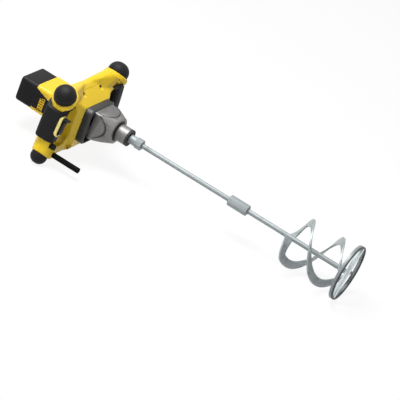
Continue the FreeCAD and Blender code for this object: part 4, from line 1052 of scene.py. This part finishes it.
def swept_rod(name, points, radius):
    """A closed rod along points in millimetres."""
    curve = bpy.data.curves.new(name, "CURVE")
    curve.dimensions = "3D"
    curve.bevel_depth = radius * MM
    curve.bevel_resolution = 2
    curve.use_fill_caps = True
    spline = curve.splines.new("POLY")
    spline.points.add(len(points) - 1)
    for spot, point in zip(spline.points, points):
        spot.co = (*(Vector(point) * MM), 1)
    path = linked("path", curve)
    mesh = bpy.data.meshes.new_from_object(path.evaluated_get(bpy.context.evaluated_depsgraph_get()))
    bpy.data.objects.remove(path)
    bpy.data.curves.remove(curve)
    form = outward(merged(mesh))
    bpy.data.meshes.remove(mesh)
    return from_bmesh(name, form)


def case_grooves():
    """The grooves that edge the case's flats: an arch above, and one where each flank meets the taper."""
    steps, reach = 24, 0.985
    flank_foot, flank_top, pitch, outside = -32, 26, 2, 0.2
    arch = []
    for step in range(-steps, steps + 1):
        share = step / steps * reach
        arch.append((ARCH_X + ARCH_LONG * math.sqrt(1 - share * share), ARCH_WIDE * share, ARCH_TOP))
    grooves = [swept_rod("groove", arch, GROOVE)]
    for side in SIDES.values():
        flank = []
        for height in range(flank_foot, flank_top + 1, pitch):
            station = TAPER_X + (TAPER_RADIUS - math.hypot(FLANK_WIDE, height)) / TAPER_SLOPE
            flank.append((station, side * (FLANK_WIDE + outside), height))
        grooves.append(swept_rod("groove", flank, GROOVE))
    return grooves


class MIXER_OT_drive(bpy.types.Operator):
    """Makes the motor cover, the gearbox plate and the gearbox case with its grooves"""

    bl_idname = "mixer.drive"
    bl_label = "Cover and gearbox"

    def execute(self, context):
        dressed_copy("motor_cover", 0.0008, "grained_plastic", "black_plastic")
        dressed_copy("gearbox_plate", 0.0009, "painted_plate", "plate_paint")
        case = carved(softened_copy("gearbox_case", 0.0016), case_grooves())
        dressed(shaded_smooth(case), "cast_metal", "case_aluminium", "housing", "gearbox_case")
        return {"FINISHED"}


class MIXER_OT_screws(bpy.types.Operator):
    """Makes the heads of the six shell screws"""

    bl_idname = "mixer.screws"
    bl_label = "Screws"

    def execute(self, context):
        sizes = context.scene.mixer_screws
        half = X_AXIS * sizes.height / 2
        heads = pan_screws("shell_screw_heads", [seat - half for seat in screw_seats()], sizes, "screw_steel")
        dressed(heads, "screw_steel", "machined_steel", "housing", *SHELL_SCREWS)
        return {"FINISHED"}


# The paddle's solids, each with the round of its edges in metres and its finish.
PADDLE = {
    "stem_hex": (0.0006, "drawn_steel"),
    "upper_rod": (0.0004, "drawn_steel"),
    "rod_coupling": (0.0006, "drawn_steel"),
    "lower_rod": (0.0004, "drawn_steel"),
    "first_ribbon": (0.0004, "plated_steel"),
    "second_ribbon": (0.0004, "plated_steel"),
    "paddle_ring": (0.0005, "tip_shaded_steel"),
    "cross_bar": (0.0005, "bright_steel"),
}


class MIXER_OT_paddle(bpy.types.Operator):
    """Makes the stem, the rods, the coupling, the ribbons, the ring and the cross bar of the paddle"""

    bl_idname = "mixer.paddle"
    bl_label = "Paddle"

    def execute(self, context):
        for node, (bevel, finish) in PADDLE.items():
            dressed_copy(node, bevel, finish, "zinc_steel", "spindle")
        return {"FINISHED"}


class MIXER_OT_inside(bpy.types.Operator):
    """Gives the solids the finish of their slot and the spindle that of the rods; other machined steel keeps
    the frame's own material"""

    bl_idname = "mixer.inside"
    bl_label = "Inner parts"

    def execute(self, context):
        slots = {part["node"]: part["material_slot"] for part in frame["record"]["subparts"]}
        for name, node in frame["nodes"].items():
            finish = "drawn_steel" if name == "spindle" else SLOT_FINISHES.get(slots[name])
            if finish:
                node.data.materials.clear()
                node.data.materials.append(finish_for(finish))
        return {"FINISHED"}


class MIXER_OT_stage(bpy.types.Operator):
    """Sets the camera, the lamps, the white surround and the floor that takes the shadow"""

    bl_idname = "mixer.stage"
    bl_label = "Stage"

    def execute(self, context):
        scene = context.scene
        settings = scene.mixer_stage
        scene.view_settings.view_transform = "Standard"
        camera = bpy.data.cameras.new("camera")
        camera.lens = settings.lens
        camera.sensor_width = 36
        camera.clip_end = 50
        eye = linked("camera", camera)
        flat = math.cos(settings.elevation)
        look = Vector((-flat * math.sin(settings.azimuth), flat * math.cos(settings.azimuth),
                       -math.sin(settings.elevation)))
        eye.rotation_mode = "QUATERNION"
        eye.rotation_quaternion = look.to_track_quat("-Z", "Y") @ Quaternion(Z_AXIS, settings.roll)
        eye.location = settings.place
        scene.camera = eye
        self.lamp("key", place=Vector((-0.75, -0.45, 2.4)), size=1.5, watts=settings.key)
        self.lamp("fill", place=Vector((1.9, -2.2, 0.9)), size=2.2, watts=settings.fill)
        self.surround(scene, settings)
        self.floor()
        return {"FINISHED"}

    def lamp(self, name, place, size, watts):
        """A large soft lamp that faces the middle of the object."""
        lamp = bpy.data.lights.new(name, "AREA")
        lamp.shape = "DISK"
        lamp.size = size
        lamp.energy = watts
        holder = linked(name, lamp)
        holder.location = place
        middle = (cad_low + cad_high) / 2
        holder.rotation_mode = "QUATERNION"
        holder.rotation_quaternion = (middle - place).to_track_quat("-Z", "Y")

    def surround(self, scene, settings):
        """A white surround for the camera and for reflections, and an even soft light otherwise."""
        world = bpy.data.worlds.new("surround")
        scene.world = world
        world.use_nodes = True
        net = Net(world.node_tree)
        light, white = [net.node("ShaderNodeBackground", {}, {"Color": (1, 1, 1, 1), "Strength": strength})
                        for strength in (settings.sky, 1.0)]
        both = net.node("ShaderNodeMixShader", {}, {0: net.backdrop_rays(), 1: light, 2: white})
        net.node("ShaderNodeOutputWorld", {}, {"Surface": both})

    def floor(self):
        """The pale floor under the lower bumpers and the ring, see-through from below."""
        rest_x, rest_z, tip_x, tip_z = -0.142, -0.1085, 0.617, -0.0715
        slope = (tip_z - rest_z) / (tip_x - rest_x)
        reach = 4.0
        corners = [(x, y, rest_z + (x - rest_x) * slope) for x, y in
                   ((-reach, -reach), (reach, -reach), (reach, reach), (-reach, reach))]
        mesh = bpy.data.meshes.new("floor")
        mesh.from_pydata(corners, [], [(0, 1, 2, 3)])
        floor = linked("floor", mesh)
        finish = Finish("floor_white")
        back = finish.node("ShaderNodeNewGeometry", {}, {}, "Backfacing")
        matt = finish.node("ShaderNodeBsdfDiffuse", {}, {"Color": (0.86, 0.86, 0.86, 1)})
        glow = finish.node("ShaderNodeEmission", {}, {"Color": (1, 1, 1, 1), "Strength": 1.0})
        pale = finish.node("ShaderNodeMixShader", {}, {0: 0.9 * finish.backdrop_rays(), 1: matt, 2: glow})
        clear = finish.node("ShaderNodeBsdfTransparent", {}, {})
        both = finish.node("ShaderNodeMixShader", {}, {0: back, 1: pale, 2: clear})
        finish.node("ShaderNodeOutputMaterial", {}, {"Surface": both})
        mesh.materials.append(finish.material)


class MIXER_PT_panel(bpy.types.Panel):
    """Lists the steps and their sizes"""

    bl_idname = "MIXER_PT_panel"
    bl_label = "Paddle mixer"
    bl_space_type = "VIEW_3D"
    bl_region_type = "UI"
    bl_category = "Mixer"

    def draw(self, context):
        for group in GROUPS:
            box = self.layout.box()
            held = getattr(context.scene, group)
            for key in held.bl_rna.properties.keys():
                if key not in ("rna_type", "name"):
                    box.prop(held, key)
        for operator in OPERATORS:
            self.layout.operator(operator.bl_idname)


GROUPS = {"mixer_shell": ShellSizes, "mixer_ribs": RibSizes, "mixer_screws": ScrewSizes,
          "mixer_finishes": Finishes, "mixer_stage": StageSettings}
OPERATORS = (MIXER_OT_inside, MIXER_OT_shell, MIXER_OT_grips, MIXER_OT_bumpers, MIXER_OT_controls,
             MIXER_OT_drive, MIXER_OT_screws, MIXER_OT_paddle, MIXER_OT_stage)


def register():
    for kind in (*GROUPS.values(), *OPERATORS, MIXER_PT_panel):
        bpy.utils.register_class(kind)
    for name, kind in GROUPS.items():
        setattr(bpy.types.Scene, name, PointerProperty(type=kind))


def unregister():
    for name in GROUPS:
        delattr(bpy.types.Scene, name)
    for kind in (MIXER_PT_panel, *reversed(OPERATORS), *reversed(GROUPS.values())):
        bpy.utils.unregister_class(kind)


def main():
    register()
    bpy.ops.mixer.inside()
    bpy.ops.mixer.shell()
    bpy.ops.mixer.grips()
    bpy.ops.mixer.bumpers()
    bpy.ops.mixer.controls()
    bpy.ops.mixer.drive()
    bpy.ops.mixer.screws()
    bpy.ops.mixer.paddle()
    bpy.ops.mixer.stage()


if __name__ == "__main__":
    main()
